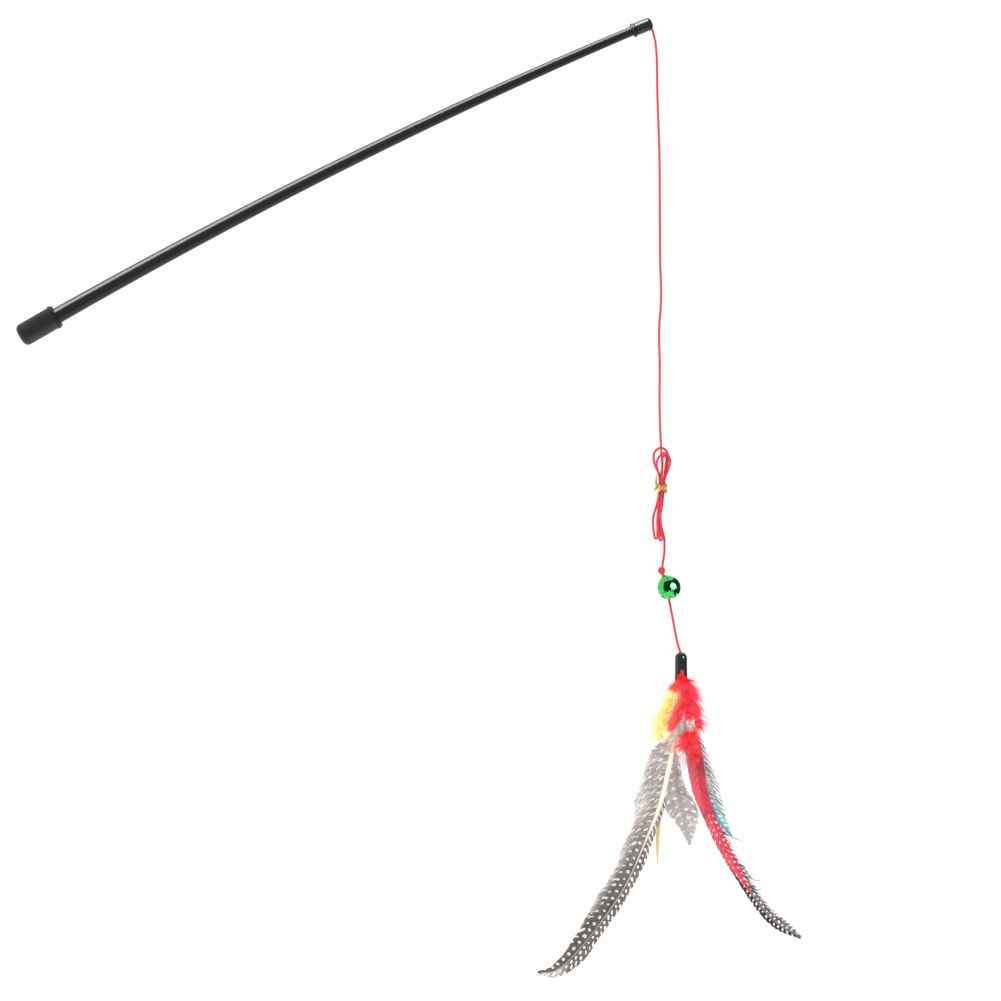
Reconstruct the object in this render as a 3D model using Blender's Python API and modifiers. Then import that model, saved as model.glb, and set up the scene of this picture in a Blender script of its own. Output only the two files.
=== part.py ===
"""Feather cat wand: a tapered rod with a red elastic cord, a bell and a lure of feathers.

World frame: X to the right, Z up, Y away from the viewer. The origin is on the rod's axis,
in the middle of the hand's grip. Lengths in the tables are millimetres.
"""
import math

import bmesh
import bpy
import numpy as np
from mathutils import Matrix, Vector

MM = 0.001
SEATED_GAP = 0.3

# Rod: its axis climbs from the grip and droops a little under its own weight
ROD_SLOPE_AT_GRIP = 0.559
ROD_DROOP = 0.0003
ROD_BUTT_X = -30.0
ROD_TIP_X = 232.2
ROD_BUTT_D = 7.0
ROD_TIP_D = 4.0
ROD_STATIONS = 22

BUTT_CAP_LENGTH = 18.0
BUTT_CAP_WALL = 1.1
BUTT_FLAT_RADIUS = 2.6

# Tip cap and the ring against its mouth
CAP_END_X = 236.9
CAP_LENGTH = 7.3
CAP_D = 5.5
CAP_BORE_D = 4.6
CAP_END_ROUND = 1.75
CAP_END_WALL = 0.9
RING_WIDTH = 1.5
RING_D = 6.1
EXIT_HOLE_D = 1.7
EXIT_ANGLE = 70.0

# Cord and its route, as (x, y, z)
CORD_D = 1.0
CORD_STEP = 2.7
SWING_PIVOT = (237.6, 0.0, 110.9)
SWAY_PIVOT = (238.5, 0.0, 106.6)
UPPER_ROUTE = [
    (239.0, 0.0, 99.5), (239.2, -0.2, 86.0), (239.7, -0.6, 71.0), (240.1, -1.0, 56.0),
    (240.2, -1.6, 35.0), (240.3, -2.2, 14.0), (240.6, -2.6, 5.0), (240.6, -2.7, -4.0),
    (239.8, -2.7, -16.0), (240.1, -2.7, -30.0), (240.0, -2.7, -45.0), (240.3, -2.7, -58.0),
]
MIDDLE_ROUTE = [(242.4, 2.3, -108.0), (242.1, 1.3, -111.4), (241.6, 0.4, -114.2), (241.4, 0.15, -115.2)]
LOWER_ROUTE = [
    (241.8, 2.15, -120.85), (242.1, 3.3, -121.9), (242.5, 4.15, -123.4), (242.9, 4.55, -125.0),
    (243.4, 4.6, -126.7), (244.4, 4.1, -130.0), (245.4, 3.0, -135.2), (246.6, 1.5, -142.0),
    (247.7, 0.5, -147.4), (248.4, 0.2, -149.8), (249.1, 0.0, -151.4),
]

# Hank: the cord passes down, up and down again through one waist, each pass a level behind the last.
# A loop's points from one pass to the next, and those of the end passes, are from the waist's middle.
HANK_X = 240.8
HANK_WAIST_Z = -82.4
HANK_IN = (240.6, -2.7, -64.4)
HANK_OUT = (242.4, 2.7, -105.0)
HANK_LEVEL = 0.75
HANK_PASS_X = [0.35, -0.5, 0.35, -0.5, 1.2, 0.35, 1.2]
HANK_FIRST = [(-0.1, -2.75, 16.0), (0.2, -2.8, 12.0), (0.3, -2.75, 8.0), (0.3, -2.5, 4.0)]
HANK_LAST = [
    (1.0, 2.3, -2.5), (0.65, 2.4, -6.8), (-0.25, 2.55, -12.6), (0.2, 2.65, -16.0), (0.95, 2.7, -19.0),
]
HANK_LOOPS = [
    [(0.25, -2.5), (-0.1, -6.8), (-0.35, -12.8), (0.15, -18.0), (0.4, -20.6), (0.42, -21.6), (0.24, -22.04),
     (-0.2, -22.22), (-0.64, -22.04), (-0.82, -21.6), (-0.84, -20.6), (-1.05, -18.0), (-1.5, -12.8),
     (-1.15, -6.8), (-0.75, -2.5)],
    [(-0.6, 3.0), (-1.15, 6.3), (-1.85, 9.0), (-1.85, 11.2), (-1.1, 13.0), (0.1, 14.3), (1.4, 14.8),
     (2.8, 14.0), (3.65, 12.3), (3.7, 10.4), (2.9, 7.6), (2.0, 5.4), (1.0, 2.6)],
    [(0.3, -2.5), (-0.3, -6.8), (-0.95, -9.5), (-1.6, -13.0), (-1.5, -17.0), (-1.5, -19.9), (-1.53, -20.9),
     (-1.71, -21.34), (-2.15, -21.52), (-2.59, -21.34), (-2.77, -20.9), (-2.95, -19.9), (-3.3, -17.0),
     (-3.45, -14.0), (-3.1, -11.4), (-1.9, -7.4), (-0.9, -2.8)],
    [(-0.45, 3.0), (0.1, 6.5), (0.6, 9.0), (0.65, 11.9), (0.65, 12.9), (0.91, 13.54), (1.55, 13.8),
     (2.19, 13.54), (2.45, 12.9), (2.4, 11.8), (2.0, 9.6), (1.65, 6.5), (1.4, 3.0)],
    [(1.05, -2.5), (0.55, -6.8), (-0.35, -12.8), (-0.3, -17.0), (-0.24, -19.0), (-0.23, -20.0),
     (-0.41, -20.44), (-0.85, -20.62), (-1.29, -20.44), (-1.47, -20.0), (-1.47, -19.0), (-1.45, -17.0),
     (-1.5, -12.8), (-0.65, -6.8), (0.1, -2.5)],
    [(0.15, 3.0), (-0.9, 6.3), (-2.1, 8.8), (-2.9, 11.2), (-3.05, 13.8), (-2.4, 15.6), (-1.1, 16.8),
     (0.3, 17.1), (1.7, 16.6), (2.8, 15.1), (3.15, 13.2), (2.8, 10.4), (2.3, 7.4), (1.7, 3.6)],
]
HANK_STEP = 0.15
HANK_MOST_TURN = 18.0
HANK_LONGEST_PIECE = 5.0

# Twist tie round the waist
TIE_X = 241.15
TIE_ROOM_X = 1.98
TIE_ROOM_Y = 1.7
TIE_TAIL_ROOT = 2.15
TIE_BAND_HEIGHT = 2.3
TIE_THICKNESS = 0.3
TIE_TILT = 14.0
TIE_TAIL_WIDTH = 1.1

# Bell, hanging on a small loop of the knot
KNOT_CENTRE = (240.93, 0.0, -117.3)
BELL_TILT = 23.0
BELL_Y = -2.0
BELL_D = 10.0
BELL_WALL = 0.4
KNOT_TO_PIVOT = 2.35
PIVOT_TO_BELL = 5.65
BAIL_WIRE_D = 0.44
BAIL_ARC_RADIUS = 0.75
BAIL_FOOT = 1.1
LOOP_RADIUS = 0.75
LOOP_CORD_D = 0.8
SLOT_WIDTH = 0.9
SLOT_END_ANGLE = 50.0
PELLET_D = 2.6
LURE_PIVOT = (241.45, 0.91, -119.68)

# Lure cap and plug; lure tables below are measured from the middle of the cap's mouth
LURE_X = 249.3
LURE_TOP_Z = -152.2
LURE_MOUTH_Z = -164.9
LURE_CAP_TOP_D = 5.1
LURE_CAP_MOUTH_D = 5.4
LURE_CAP_WALL = 0.6
LURE_HOLE_D = 1.75
LURE_KNOT_Z = -154.9
PLUG_TOP = 7.3
PLUG_BOTTOM = 1.6
QUILL_RING_RADIUS = 1.4
QUILL_TOP = 1.3

VANE_THICKNESS = 0.4
FEATHER_STATION_STEP = 5.0

# Each feather: place on the quill ring in degrees (None is the middle), spine (x, y, z), vane as
# (distance along the spine, left width, right width), curl of the vane, and the quill's diameter
# as (distance along the spine, diameter)
FEATHERS = {
    "guinea_feather_left": dict(
        slot=225, curl=1.6,
        quill=[(3, 0.75), (14, 1.3), (22, 1.4), (30, 2.0), (38, 2.3), (50, 2.1), (62, 1.6),
               (72, 1.3), (84, 0.8), (96, 0.5), (145, 0.42)],
        spine=[(-1.5, -1.3, -8), (-1.4, -1.3, -17), (-4.4, -1.5, -32.3), (-8.6, -2.4, -50.5),
               (-14.2, -4.4, -64.6), (-24.7, -8.0, -86.8), (-40.3, -12.5, -107.9),
               (-52.3, -15.0, -119.4), (-60.8, -16.0, -121.3)],
        vane=[(26, 0.6, 0.6), (29, 8.6, 1.2), (34, 9.8, 2.1), (52, 10.0, 2.3), (61, 8.4, 1.9),
              (66, 6.2, 2.2), (80, 7.7, 3.2), (90, 6.2, 2.7), (102, 7.0, 3.1), (114, 5.6, 3.1),
              (128, 2.9, 4.6), (138, 2.2, 3.2), (145, 0.5, 0.5)]),
    "guinea_feather_short": dict(
        slot=90, quill=[(3, 0.75), (10, 0.9), (40, 0.7), (70, 0.42)], curl=0.8,
        spine=[(-0.4, 2.0, -8), (-1.2, 2.4, -20), (-2.1, 3.0, -32), (-1.9, 3.5, -44),
               (0.2, 4.2, -54), (2.4, 5.4, -63), (3.9, 6.4, -70)],
        vane=[(29, 0.5, 0.5), (34, 3.6, 1.7), (42, 6.6, 2.9), (49, 8.4, 4.4), (55, 7.6, 6.8),
              (61, 4.0, 7.2), (67, 1.8, 4.2), (72, 0.4, 0.5)]),
    "guinea_feather_right": dict(
        slot=0, quill=[(3, 0.75), (10, 1.0), (60, 0.7), (126, 0.42)], curl=-0.8,
        spine=[(1.5, 1.2, -8), (3.2, 1.4, -16.2), (5.6, 1.7, -25), (7.4, 2.0, -37),
               (9.8, 2.2, -48.5), (17.4, 3.0, -67.7), (26.9, 4.6, -85.5), (38.9, 7.4, -101.7),
               (52.0, 10.0, -110.4)],
        vane=[(21, 0.6, 0.6), (25, 4.8, 3.4), (38, 4.7, 6.0), (50, 4.2, 8.0), (62, 3.5, 6.4),
              (72, 3.2, 3.8), (80, 2.7, 3.1), (89, 1.9, 4.9), (96, 1.3, 4.4), (102, 1.2, 3.2),
              (118, 1.5, 3.9), (126, 0.4, 0.6)]),
    "teal_feather": dict(
        slot=-45, quill=[(3, 0.75), (71, 0.42)], curl=0.2,
        spine=[(2.1, -0.3, -8), (3.6, 0.0, -16.2), (6.2, 0.2, -26), (8.2, 0.3, -37),
               (11.0, 0.3, -48), (15.6, 0.4, -58), (21.4, 0.8, -65.5)],
        vane=[(30, 0.5, 0.5), (36, 1.6, 2.0), (46, 2.0, 3.4), (56, 2.0, 4.0), (64, 1.6, 3.2),
              (71, 0.4, 0.4)]),
    "red_feather": dict(
        slot=-90, quill=[(3, 0.75), (10, 1.0), (60, 0.7), (97, 0.42)], curl=-0.3,
        spine=[(1.0, -1.8, -8), (3.1, -1.6, -16.2), (5.3, -1.4, -25), (7.1, -1.3, -37),
               (9.4, -1.3, -48.5), (17.2, -1.1, -67.7), (24.0, -0.6, -80.5), (30.2, 0.6, -90.4)],
        vane=[(21, 0.6, 0.6), (26, 4.4, 2.4), (36, 4.8, 3.2), (50, 4.3, 2.6), (62, 3.5, 1.7),
              (76, 2.8, 2.2), (88, 1.9, 2.0), (97, 0.3, 0.3)]),
    "grey_down_feather": dict(
        slot=None, quill=[(3, 0.7), (28, 0.42)], curl=0.3,
        spine=[(0.2, -0.2, -8), (0.7, -1.6, -15), (0.7, -2.9, -20), (0.1, -3.1, -26.5)],
        vane=[(18, 0.4, 0.4), (21, 1.8, 2.0), (25, 1.9, 2.1), (28, 0.4, 0.4)]),
    "bare_quill": dict(
        slot=180, quill=[(3, 0.75), (14, 1.6), (60, 1.8), (72, 1.4), (80, 0.36)], curl=0.0,
        spine=[(-1.9, 0.5, -8), (-2.6, 1.1, -17), (-4.4, 1.3, -31), (-7.3, 1.0, -47),
               (-9.3, 0.7, -58), (-10.0, 0.4, -70), (-9.9, 0.0, -78.7)],
        vane=[]),
}

# Marabou: spine (x, y, z) and half widths (across, deep) at each of its points
YELLOW_PLUME = [
    ((-2.1, 2.9, -3.0), 0.5, 0.5), ((-4.0, 4.4, -6.0), 1.6, 1.4), ((-6.2, 5.2, -10.0), 2.6, 2.4),
    ((-8.6, 5.6, -15.0), 3.6, 3.0), ((-10.2, 5.6, -20.0), 3.8, 3.0), ((-11.6, 5.2, -24.0), 3.0, 2.4),
    ((-12.8, 4.8, -27.5), 1.2, 1.2),
]
LOWER_RED_PLUME = [
    ((3.9, -6.0, -19.9), 1.6, 1.4), ((3.4, -6.2, -21.5), 3.4, 2.1), ((2.6, -6.3, -23.8), 4.0, 2.2),
    ((1.4, -6.1, -26.0), 3.0, 2.0), ((0.3, -5.8, -27.6), 1.2, 1.2),
]
# Red marabou round the cap's mouth, as three plumes side by side in one sleeve. Each row holds its
# height, the middle of the bore in x, the bore's radius, the outer radius and the outer shift in x
RED_SLEEVE = [
    (5.4, 0.0, 3.15, 3.7, 0.0), (2.6, 0.0, 3.15, 4.0, 0.1), (0.0, 0.0, 3.15, 4.6, 0.2),
    (-3.4, 0.0, 3.1, 5.9, 0.9), (-7.2, 0.2, 3.1, 6.8, 1.5), (-11.2, 0.5, 3.3, 7.7, 2.2),
    (-14.6, 0.8, 3.6, 7.6, 2.2), (-17.4, 1.2, 4.0, 6.6, 1.6), (-19.0, 1.3, 4.2, 5.3, 1.3),
]
RED_SECTORS = {
    "red_marabou_left": (-172, -97), "red_marabou_front": (-90, -18), "red_marabou_right": (-11, 62),
}
PLUME_SIDES = 14
SECTOR_SIDES = 7
FULL_TUFT_DEPTH = 8.0


def clear_scene():
    for obj in list(bpy.data.objects):
        bpy.data.objects.remove(obj, do_unlink=True)


clear_scene()
parts = bpy.data.collections.new("feather_cat_wand")
cutters = bpy.data.collections.new("cutters")
bpy.context.scene.collection.children.link(parts)
bpy.context.scene.collection.children.link(cutters)


def make_material(name, colour, roughness, metallic=0.0):
    material = bpy.data.materials.new(name)
    material.use_nodes = True
    shader = material.node_tree.nodes["Principled BSDF"]
    shader.inputs["Base Color"].default_value = (*colour, 1.0)
    shader.inputs["Roughness"].default_value = roughness
    shader.inputs["Metallic"].default_value = metallic
    material.diffuse_color = (*colour, 1.0)
    return material


BLACK_GLOSS = make_material("black_gloss", (0.012, 0.012, 0.014), 0.18)
BLACK_RUBBER = make_material("black_rubber", (0.02, 0.02, 0.02), 0.6)
RED_CORD = make_material("red_cord", (0.62, 0.03, 0.06), 0.65)
GOLD_FOIL = make_material("gold_foil", (0.75, 0.55, 0.22), 0.3, 1.0)
GREEN_METAL = make_material("green_metal", (0.02, 0.55, 0.16), 0.12, 1.0)
STEEL = make_material("steel", (0.6, 0.6, 0.6), 0.3, 1.0)
GLUE = make_material("glue", (0.75, 0.7, 0.55), 0.4)
GUINEA = make_material("guinea_grey", (0.36, 0.31, 0.28), 0.7)
PALE_GREY = make_material("pale_grey", (0.5, 0.46, 0.44), 0.75)
RED_DYE = make_material("red_dye", (0.75, 0.03, 0.05), 0.6)
TEAL_DYE = make_material("teal_dye", (0.06, 0.36, 0.4), 0.65)
YELLOW_DYE = make_material("yellow_dye", (0.95, 0.8, 0.2), 0.8)
AMBER = make_material("amber_quill", (0.8, 0.5, 0.2), 0.4)


def body_empty(name, point):
    """An empty on the joint that carries a moving body."""
    empty = bpy.data.objects.new(name, None)
    empty.empty_display_size = 0.004
    empty.location = Vector(point) * MM
    parts.objects.link(empty)
    return empty


def join_body(obj, empty):
    bpy.context.view_layer.update()
    obj.parent = empty
    obj.matrix_parent_inverse = empty.matrix_world.inverted()


def add_part(name, data, material, empty, matrix=None):
    obj = bpy.data.objects.new(name, data)
    parts.objects.link(obj)
    data.materials.append(material)
    if matrix is not None:
        obj.matrix_world = matrix
    join_body(obj, empty)
    return obj


def aimed(point, direction):
    """Matrix with its origin at a point in millimetres and its local Z along a direction."""
    turn = Vector(direction).to_track_quat("Z", "Y").to_matrix().to_4x4()
    return Matrix.Translation(Vector(point) * MM) @ turn


def hide_helper(obj):
    obj.hide_render = True
    obj.display_type = "WIRE"
    for collection in list(obj.users_collection):
        collection.objects.unlink(obj)
    cutters.objects.link(obj)


def add_boolean(target, tool, operation):
    modifier = target.modifiers.new(f"{operation.lower()}_{tool.name}", "BOOLEAN")
    modifier.operation = operation
    modifier.object = tool


def arc(centre_r, centre_z, radius, start_deg, end_deg, count):
    """Points (r, z) on a circle; 0 degrees points outwards and 90 up."""
    angles = np.radians(np.linspace(start_deg, end_deg, count))
    return [(centre_r + radius * math.cos(a), centre_z + radius * math.sin(a)) for a in angles]


def turned(name, profile, material, empty, matrix, sides=24, closed=False):
    """A revolve round local Z of a profile that runs down its outer side."""
    mesh = bpy.data.meshes.new(name)
    verts = [(r * MM, 0.0, z * MM) for r, z in profile]
    edges = [(i, i + 1) for i in range(len(verts) - 1)]
    if closed:
        edges.append((len(verts) - 1, 0))
    mesh.from_pydata(verts, edges, [])
    obj = add_part(name, mesh, material, empty, matrix)
    screw = obj.modifiers.new("revolve", "SCREW")
    screw.axis = "Z"
    screw.angle = math.tau
    screw.steps = sides
    screw.render_steps = sides
    screw.use_merge_vertices = True
    screw.merge_threshold = 1e-5
    screw.use_smooth_shade = True
    return obj


def smooth_points(points, step):
    """Equal steps along a smooth curve through the given points."""
    knots = np.array(points, float)
    ends = np.vstack([2 * knots[0] - knots[1], knots, 2 * knots[-1] - knots[-2]])
    fine = []
    for before, start, end, after in zip(ends[:-3], ends[1:-2], ends[2:-1], ends[3:]):
        for t in np.linspace(0.0, 1.0, 24, endpoint=False):
            bend = (2 * before - 5 * start + 4 * end - after) * t
            turn = (3 * start - before - 3 * end + after) * t * t
            fine.append(start + 0.5 * t * (end - before + bend + turn))
    fine.append(knots[-1])
    fine = np.array(fine)
    along = np.r_[0.0, np.cumsum(np.linalg.norm(np.diff(fine, axis=0), axis=1))]
    count = max(2, round(along[-1] / step) + 1)
    marks = np.linspace(0.0, along[-1], count)
    return np.column_stack([np.interp(marks, along, fine[:, axis]) for axis in range(3)])


def curve_tube(name, points, radii, material, empty, resolution=2):
    """A tube along straight-line points, as a bevelled curve with filled caps."""
    curve = bpy.data.curves.new(name, "CURVE")
    curve.dimensions = "3D"
    curve.bevel_depth = MM
    curve.bevel_resolution = resolution
    curve.use_fill_caps = True
    spline = curve.splines.new("POLY")
    spline.points.add(len(points) - 1)
    origin = empty.location / MM
    for spot, place, radius in zip(spline.points, points, radii):
        spot.co = (*((Vector(place) - origin) * MM), 1.0)
        spot.radius = radius
    spline.use_smooth = True
    return add_part(name, curve, material, empty, Matrix.Translation(empty.location))


def cord(name, points, empty, ball_start=False):
    """A stretch of cord. A ball start is centred on the joint, so that the cord can swing there."""
    radius = CORD_D / 2
    points = [Vector(p) for p in points]
    radii = [radius] * len(points)
    if ball_start:
        back = (points[0] - points[1]).normalized()
        dome = np.radians((75, 50, 25))
        radii = [radius * math.cos(lean) for lean in dome] + radii
        points = [points[0] + back * radius * math.sin(lean) for lean in dome] + points
    return curve_tube(name, points, radii, RED_CORD, empty)


def as_mesh(obj):
    """The curve object as a closed mesh object with the same place and name."""
    graph = bpy.context.evaluated_depsgraph_get()
    mesh = bpy.data.meshes.new_from_object(obj.evaluated_get(graph))
    shape = bmesh.new()
    shape.from_mesh(mesh)
    bmesh.ops.remove_doubles(shape, verts=shape.verts, dist=1e-6)
    bmesh.ops.recalc_face_normals(shape, faces=shape.faces)
    shape.to_mesh(mesh)
    shape.free()
    name, place = obj.name, obj.matrix_world.copy()
    bpy.data.objects.remove(obj, do_unlink=True)
    solid = bpy.data.objects.new(name, mesh)
    parts.objects.link(solid)
    solid.matrix_world = place
    return solid


def torus(name, centre, axis, major, minor):
    bpy.ops.mesh.primitive_torus_add(
        major_radius=major * MM, minor_radius=minor * MM, major_segments=16, minor_segments=8)
    obj = bpy.context.object
    obj.name = name
    obj.matrix_world = aimed(centre, axis)
    return obj


def ball(name, centre, radius, segments=12, rings=8):
    bpy.ops.mesh.primitive_uv_sphere_add(segments=segments, ring_count=rings, radius=radius * MM)
    obj = bpy.context.object
    obj.name = name
    obj.location = Vector(centre) * MM
    return obj


def cylinder(name, centre, direction, radius, depth, sides=16):
    bpy.ops.mesh.primitive_cylinder_add(vertices=sides, radius=radius * MM, depth=depth * MM)
    obj = bpy.context.object
    obj.name = name
    obj.matrix_world = aimed(centre, direction)
    return obj


def adopt(obj, name, material, empty):
    """Moves a finished mesh object into the parts, under its node name."""
    obj.name = name
    obj.data.name = name
    for collection in list(obj.users_collection):
        collection.objects.unlink(obj)
    parts.objects.link(obj)
    obj.data.materials.clear()
    obj.data.materials.append(material)
    obj.data.shade_smooth()
    join_body(obj, empty)
    return obj


def knot(name, centre, along, empty, wrap=0.85, extras=()):
    """An overhand knot pulled tight: crossed wraps of cord round a core, fused to one solid."""
    centre, along = Vector(centre), Vector(along).normalized()
    side = along.orthogonal().normalized()
    base = ball(f"{name}_core", centre, wrap + 0.05, 12, 8)
    helpers = [
        torus(f"{name}_wrap_a", centre + along * 0.42, along + side * 0.25, wrap, CORD_D / 2),
        torus(f"{name}_wrap_b", centre - along * 0.42, along - side * 0.45, wrap, CORD_D / 2),
        *extras,
    ]
    for helper in helpers:
        hide_helper(helper)
        add_boolean(base, helper, "UNION")
    return adopt(base, name, RED_CORD, empty)


def rod_point(x):
    return Vector((x, 0.0, ROD_SLOPE_AT_GRIP * x - ROD_DROOP * x * x))


def rod_direction(x):
    return Vector((1.0, 0.0, ROD_SLOPE_AT_GRIP - 2 * ROD_DROOP * x)).normalized()


def rod_diameter(x):
    share = (x - ROD_BUTT_X) / (ROD_TIP_X - ROD_BUTT_X)
    return ROD_BUTT_D + (ROD_TIP_D - ROD_BUTT_D) * share


# Rod with its caps
wand = body_empty("wand_frame", (0, 0, 0))
stations = np.linspace(ROD_BUTT_X, ROD_TIP_X, ROD_STATIONS)
curve_tube("rod", [rod_point(x) for x in stations], [rod_diameter(x) / 2 for x in stations],
           BLACK_GLOSS, wand, resolution=6)

bore = ROD_BUTT_D / 2 + SEATED_GAP
outer = bore + BUTT_CAP_WALL
depth = BUTT_CAP_LENGTH
end_round = outer - BUTT_FLAT_RADIUS
butt_profile = [(0.0, 0.0), (BUTT_FLAT_RADIUS, 0.0)]
butt_profile += arc(BUTT_FLAT_RADIUS, -end_round, end_round, 72, 0, 5)
butt_profile += [(outer, -depth + 2.4), (outer + 0.35, -depth + 2.0), (outer + 0.35, -depth + 0.4)]
butt_profile += [(outer, -depth), (bore, -depth), (bore, -1.8), (0.0, -1.8)]
butt_out = -rod_direction(ROD_BUTT_X)
butt_end = rod_point(ROD_BUTT_X) + butt_out * (1.8 + SEATED_GAP)
turned("butt_cap", butt_profile, BLACK_RUBBER, wand, aimed(butt_end, butt_out))

tip_axis = rod_direction(CAP_END_X)
tip_down = Vector((tip_axis.z, 0.0, -tip_axis.x))
cap_end = rod_point(CAP_END_X)
corner = CAP_D / 2 - CAP_END_ROUND
inner_round = CAP_END_ROUND - 0.5
cap_profile = [(0.0, 0.0), (corner, 0.0)]
cap_profile += arc(corner, -CAP_END_ROUND, CAP_END_ROUND, 75, 0, 6)
cap_profile += [(CAP_D / 2, -CAP_LENGTH + 0.3), (CAP_D / 2 - 0.2, -CAP_LENGTH)]
cap_profile += [(CAP_BORE_D / 2, -CAP_LENGTH), (CAP_BORE_D / 2, -CAP_END_WALL - inner_round)]
cap_profile += arc(CAP_BORE_D / 2 - inner_round, -CAP_END_WALL - inner_round, inner_round, 18, 90, 5)
cap_profile += [(0.0, -CAP_END_WALL)]
tip_cap = turned("tip_cap", cap_profile, BLACK_GLOSS, wand, aimed(cap_end, tip_axis))

exit_lean = math.radians(EXIT_ANGLE)
exit_axis = tip_axis * math.cos(exit_lean) + tip_down * math.sin(exit_lean)
exit_corner = cap_end - tip_axis * CAP_END_ROUND + tip_down * corner
exit_point = exit_corner + exit_axis * CAP_END_ROUND
hole = cylinder("exit_hole", exit_point, exit_axis, EXIT_HOLE_D / 2, 3.2)
hide_helper(hole)
add_boolean(tip_cap, hole, "DIFFERENCE")

ring_bore = CAP_BORE_D / 2
ridge = RING_WIDTH / 4
ring_profile = [(ring_bore, 0.0), (RING_D / 2 - 0.4, 0.0)]
ring_profile += arc(RING_D / 2 - ridge, -ridge, ridge, 60, -60, 5)
ring_profile += arc(RING_D / 2 - ridge, -3 * ridge, ridge, 60, -60, 5)
ring_profile += [(RING_D / 2 - 0.4, -RING_WIDTH), (ring_bore, -RING_WIDTH)]
ring_end = cap_end - tip_axis * (CAP_LENGTH + SEATED_GAP)
turned("tip_ring", ring_profile, BLACK_RUBBER, wand, aimed(ring_end, tip_axis), closed=True)

# Cord from the knot inside the tip cap to the first joint
cavity = exit_corner - exit_axis * 1.0 - tip_axis * 0.75
knot("tip_stop_knot", cavity, exit_axis, wand, wrap=0.62)
swing_pivot = Vector(SWING_PIVOT)
sway_pivot = Vector(SWAY_PIVOT)
joint_gap = CORD_D / 2 + SEATED_GAP
top_direction = (sway_pivot - swing_pivot).normalized()
exit_end = swing_pivot - top_direction * joint_gap
knot_clear = exit_corner + exit_axis * 0.45 - tip_axis * 0.2
exit_route = [knot_clear, exit_corner + exit_axis, exit_point + exit_axis * 0.3, exit_end]
cord("cord_exit", smooth_points(exit_route, 0.5), wand)

cord_top_body = body_empty("cord_top_frame", SWING_PIVOT)
cord("cord_top", [swing_pivot, sway_pivot - top_direction * joint_gap], cord_top_body, True)


def hank_spot(x, y, height):
    return Vector((HANK_X + x, y, HANK_WAIST_Z + height))


def hank_loop_spots():
    """Points of the hank's loops, from the first pass of the waist to the last."""
    last = len(HANK_LOOPS)
    spots = []
    for n, loop in enumerate(HANK_LOOPS):
        level = HANK_LEVEL * (n - last / 2)
        heights = [abs(height) for _, height in loop]
        end = heights.index(max(heights))
        spots.append(hank_spot(HANK_PASS_X[n], level, 0.0))
        for k, (x, height) in enumerate(loop):
            rise = HANK_LEVEL / 2 * heights[k] / heights[end]
            back = rise if k <= end else HANK_LEVEL - rise
            spots.append(hank_spot(x, level + back, height))
    spots.append(hank_spot(HANK_PASS_X[last], HANK_LEVEL * last / 2, 0.0))
    return spots


def thinned(points, most_turn, longest):
    """The points of a fine line that are needed where it turns, and some where it runs straight."""
    kept = [points[0]]
    heading = (points[1] - points[0]).normalized()
    for spot, following in zip(points[1:], points[2:]):
        turned_by = math.degrees(heading.angle(following - spot))
        if turned_by > most_turn or (spot - kept[-1]).length > longest:
            kept.append(spot)
            heading = (following - spot).normalized()
    return kept + [points[-1]]


def least_gap(points, diameter, apart=8.0, step=0.5):
    """Smallest gap between stretches of a tube that are more than a given way apart along it."""
    fine = []
    for start, end in zip(points, points[1:]):
        pieces = max(1, round((end - start).length / step))
        fine += [start.lerp(end, k / pieces) for k in range(pieces)]
    fine = np.array(fine)
    skip = int(apart / step)
    gaps = [np.linalg.norm(fine[k + skip:] - fine[k], axis=1).min() for k in range(len(fine) - skip)]
    return min(gaps) - diameter


line_body = body_empty("line_frame", SWAY_PIVOT)
hank_in, hank_out = Vector(HANK_IN), Vector(HANK_OUT)
hank_route = [hank_in - Vector((0, 0, CORD_D)), *(hank_spot(*spot) for spot in HANK_FIRST)]
hank_route += [*hank_loop_spots(), *(hank_spot(*spot) for spot in HANK_LAST)]
hank_route.append(hank_out + Vector((0, 0, CORD_D)))
hank_fine = [Vector(spot) for spot in smooth_points(hank_route, HANK_STEP)]
hank_points = [hank_in, *thinned(hank_fine, HANK_MOST_TURN, HANK_LONGEST_PIECE), hank_out]
curve_tube("cord_hank", hank_points, [CORD_D / 2] * len(hank_points), RED_CORD, line_body, 1)
print("least gap of the hank's cord to itself, mm:", round(least_gap(hank_points, CORD_D), 2))

upper_end = hank_in + Vector((0, 0, SEATED_GAP))
upper_route = [sway_pivot, *UPPER_ROUTE, upper_end + Vector((0, 0, CORD_D)), upper_end]
cord("cord_upper", smooth_points(upper_route, CORD_STEP), line_body, True)

middle_start = hank_out - Vector((0, 0, SEATED_GAP))
middle_route = [middle_start, middle_start - Vector((0, 0, CORD_D)), *MIDDLE_ROUTE]
cord("cord_middle", smooth_points(middle_route, CORD_STEP), line_body)


def stadium(half_width, half_length, count):
    """Outline (x, y, normal x, normal y) of a long ring with round ends, long way in y."""
    outline = []
    for index in range(count):
        angle = math.tau * (index + 0.5) / count
        nx, ny = math.cos(angle), math.sin(angle)
        outline.append((half_width * nx, half_width * ny + math.copysign(half_length, ny), nx, ny))
    return outline


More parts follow.
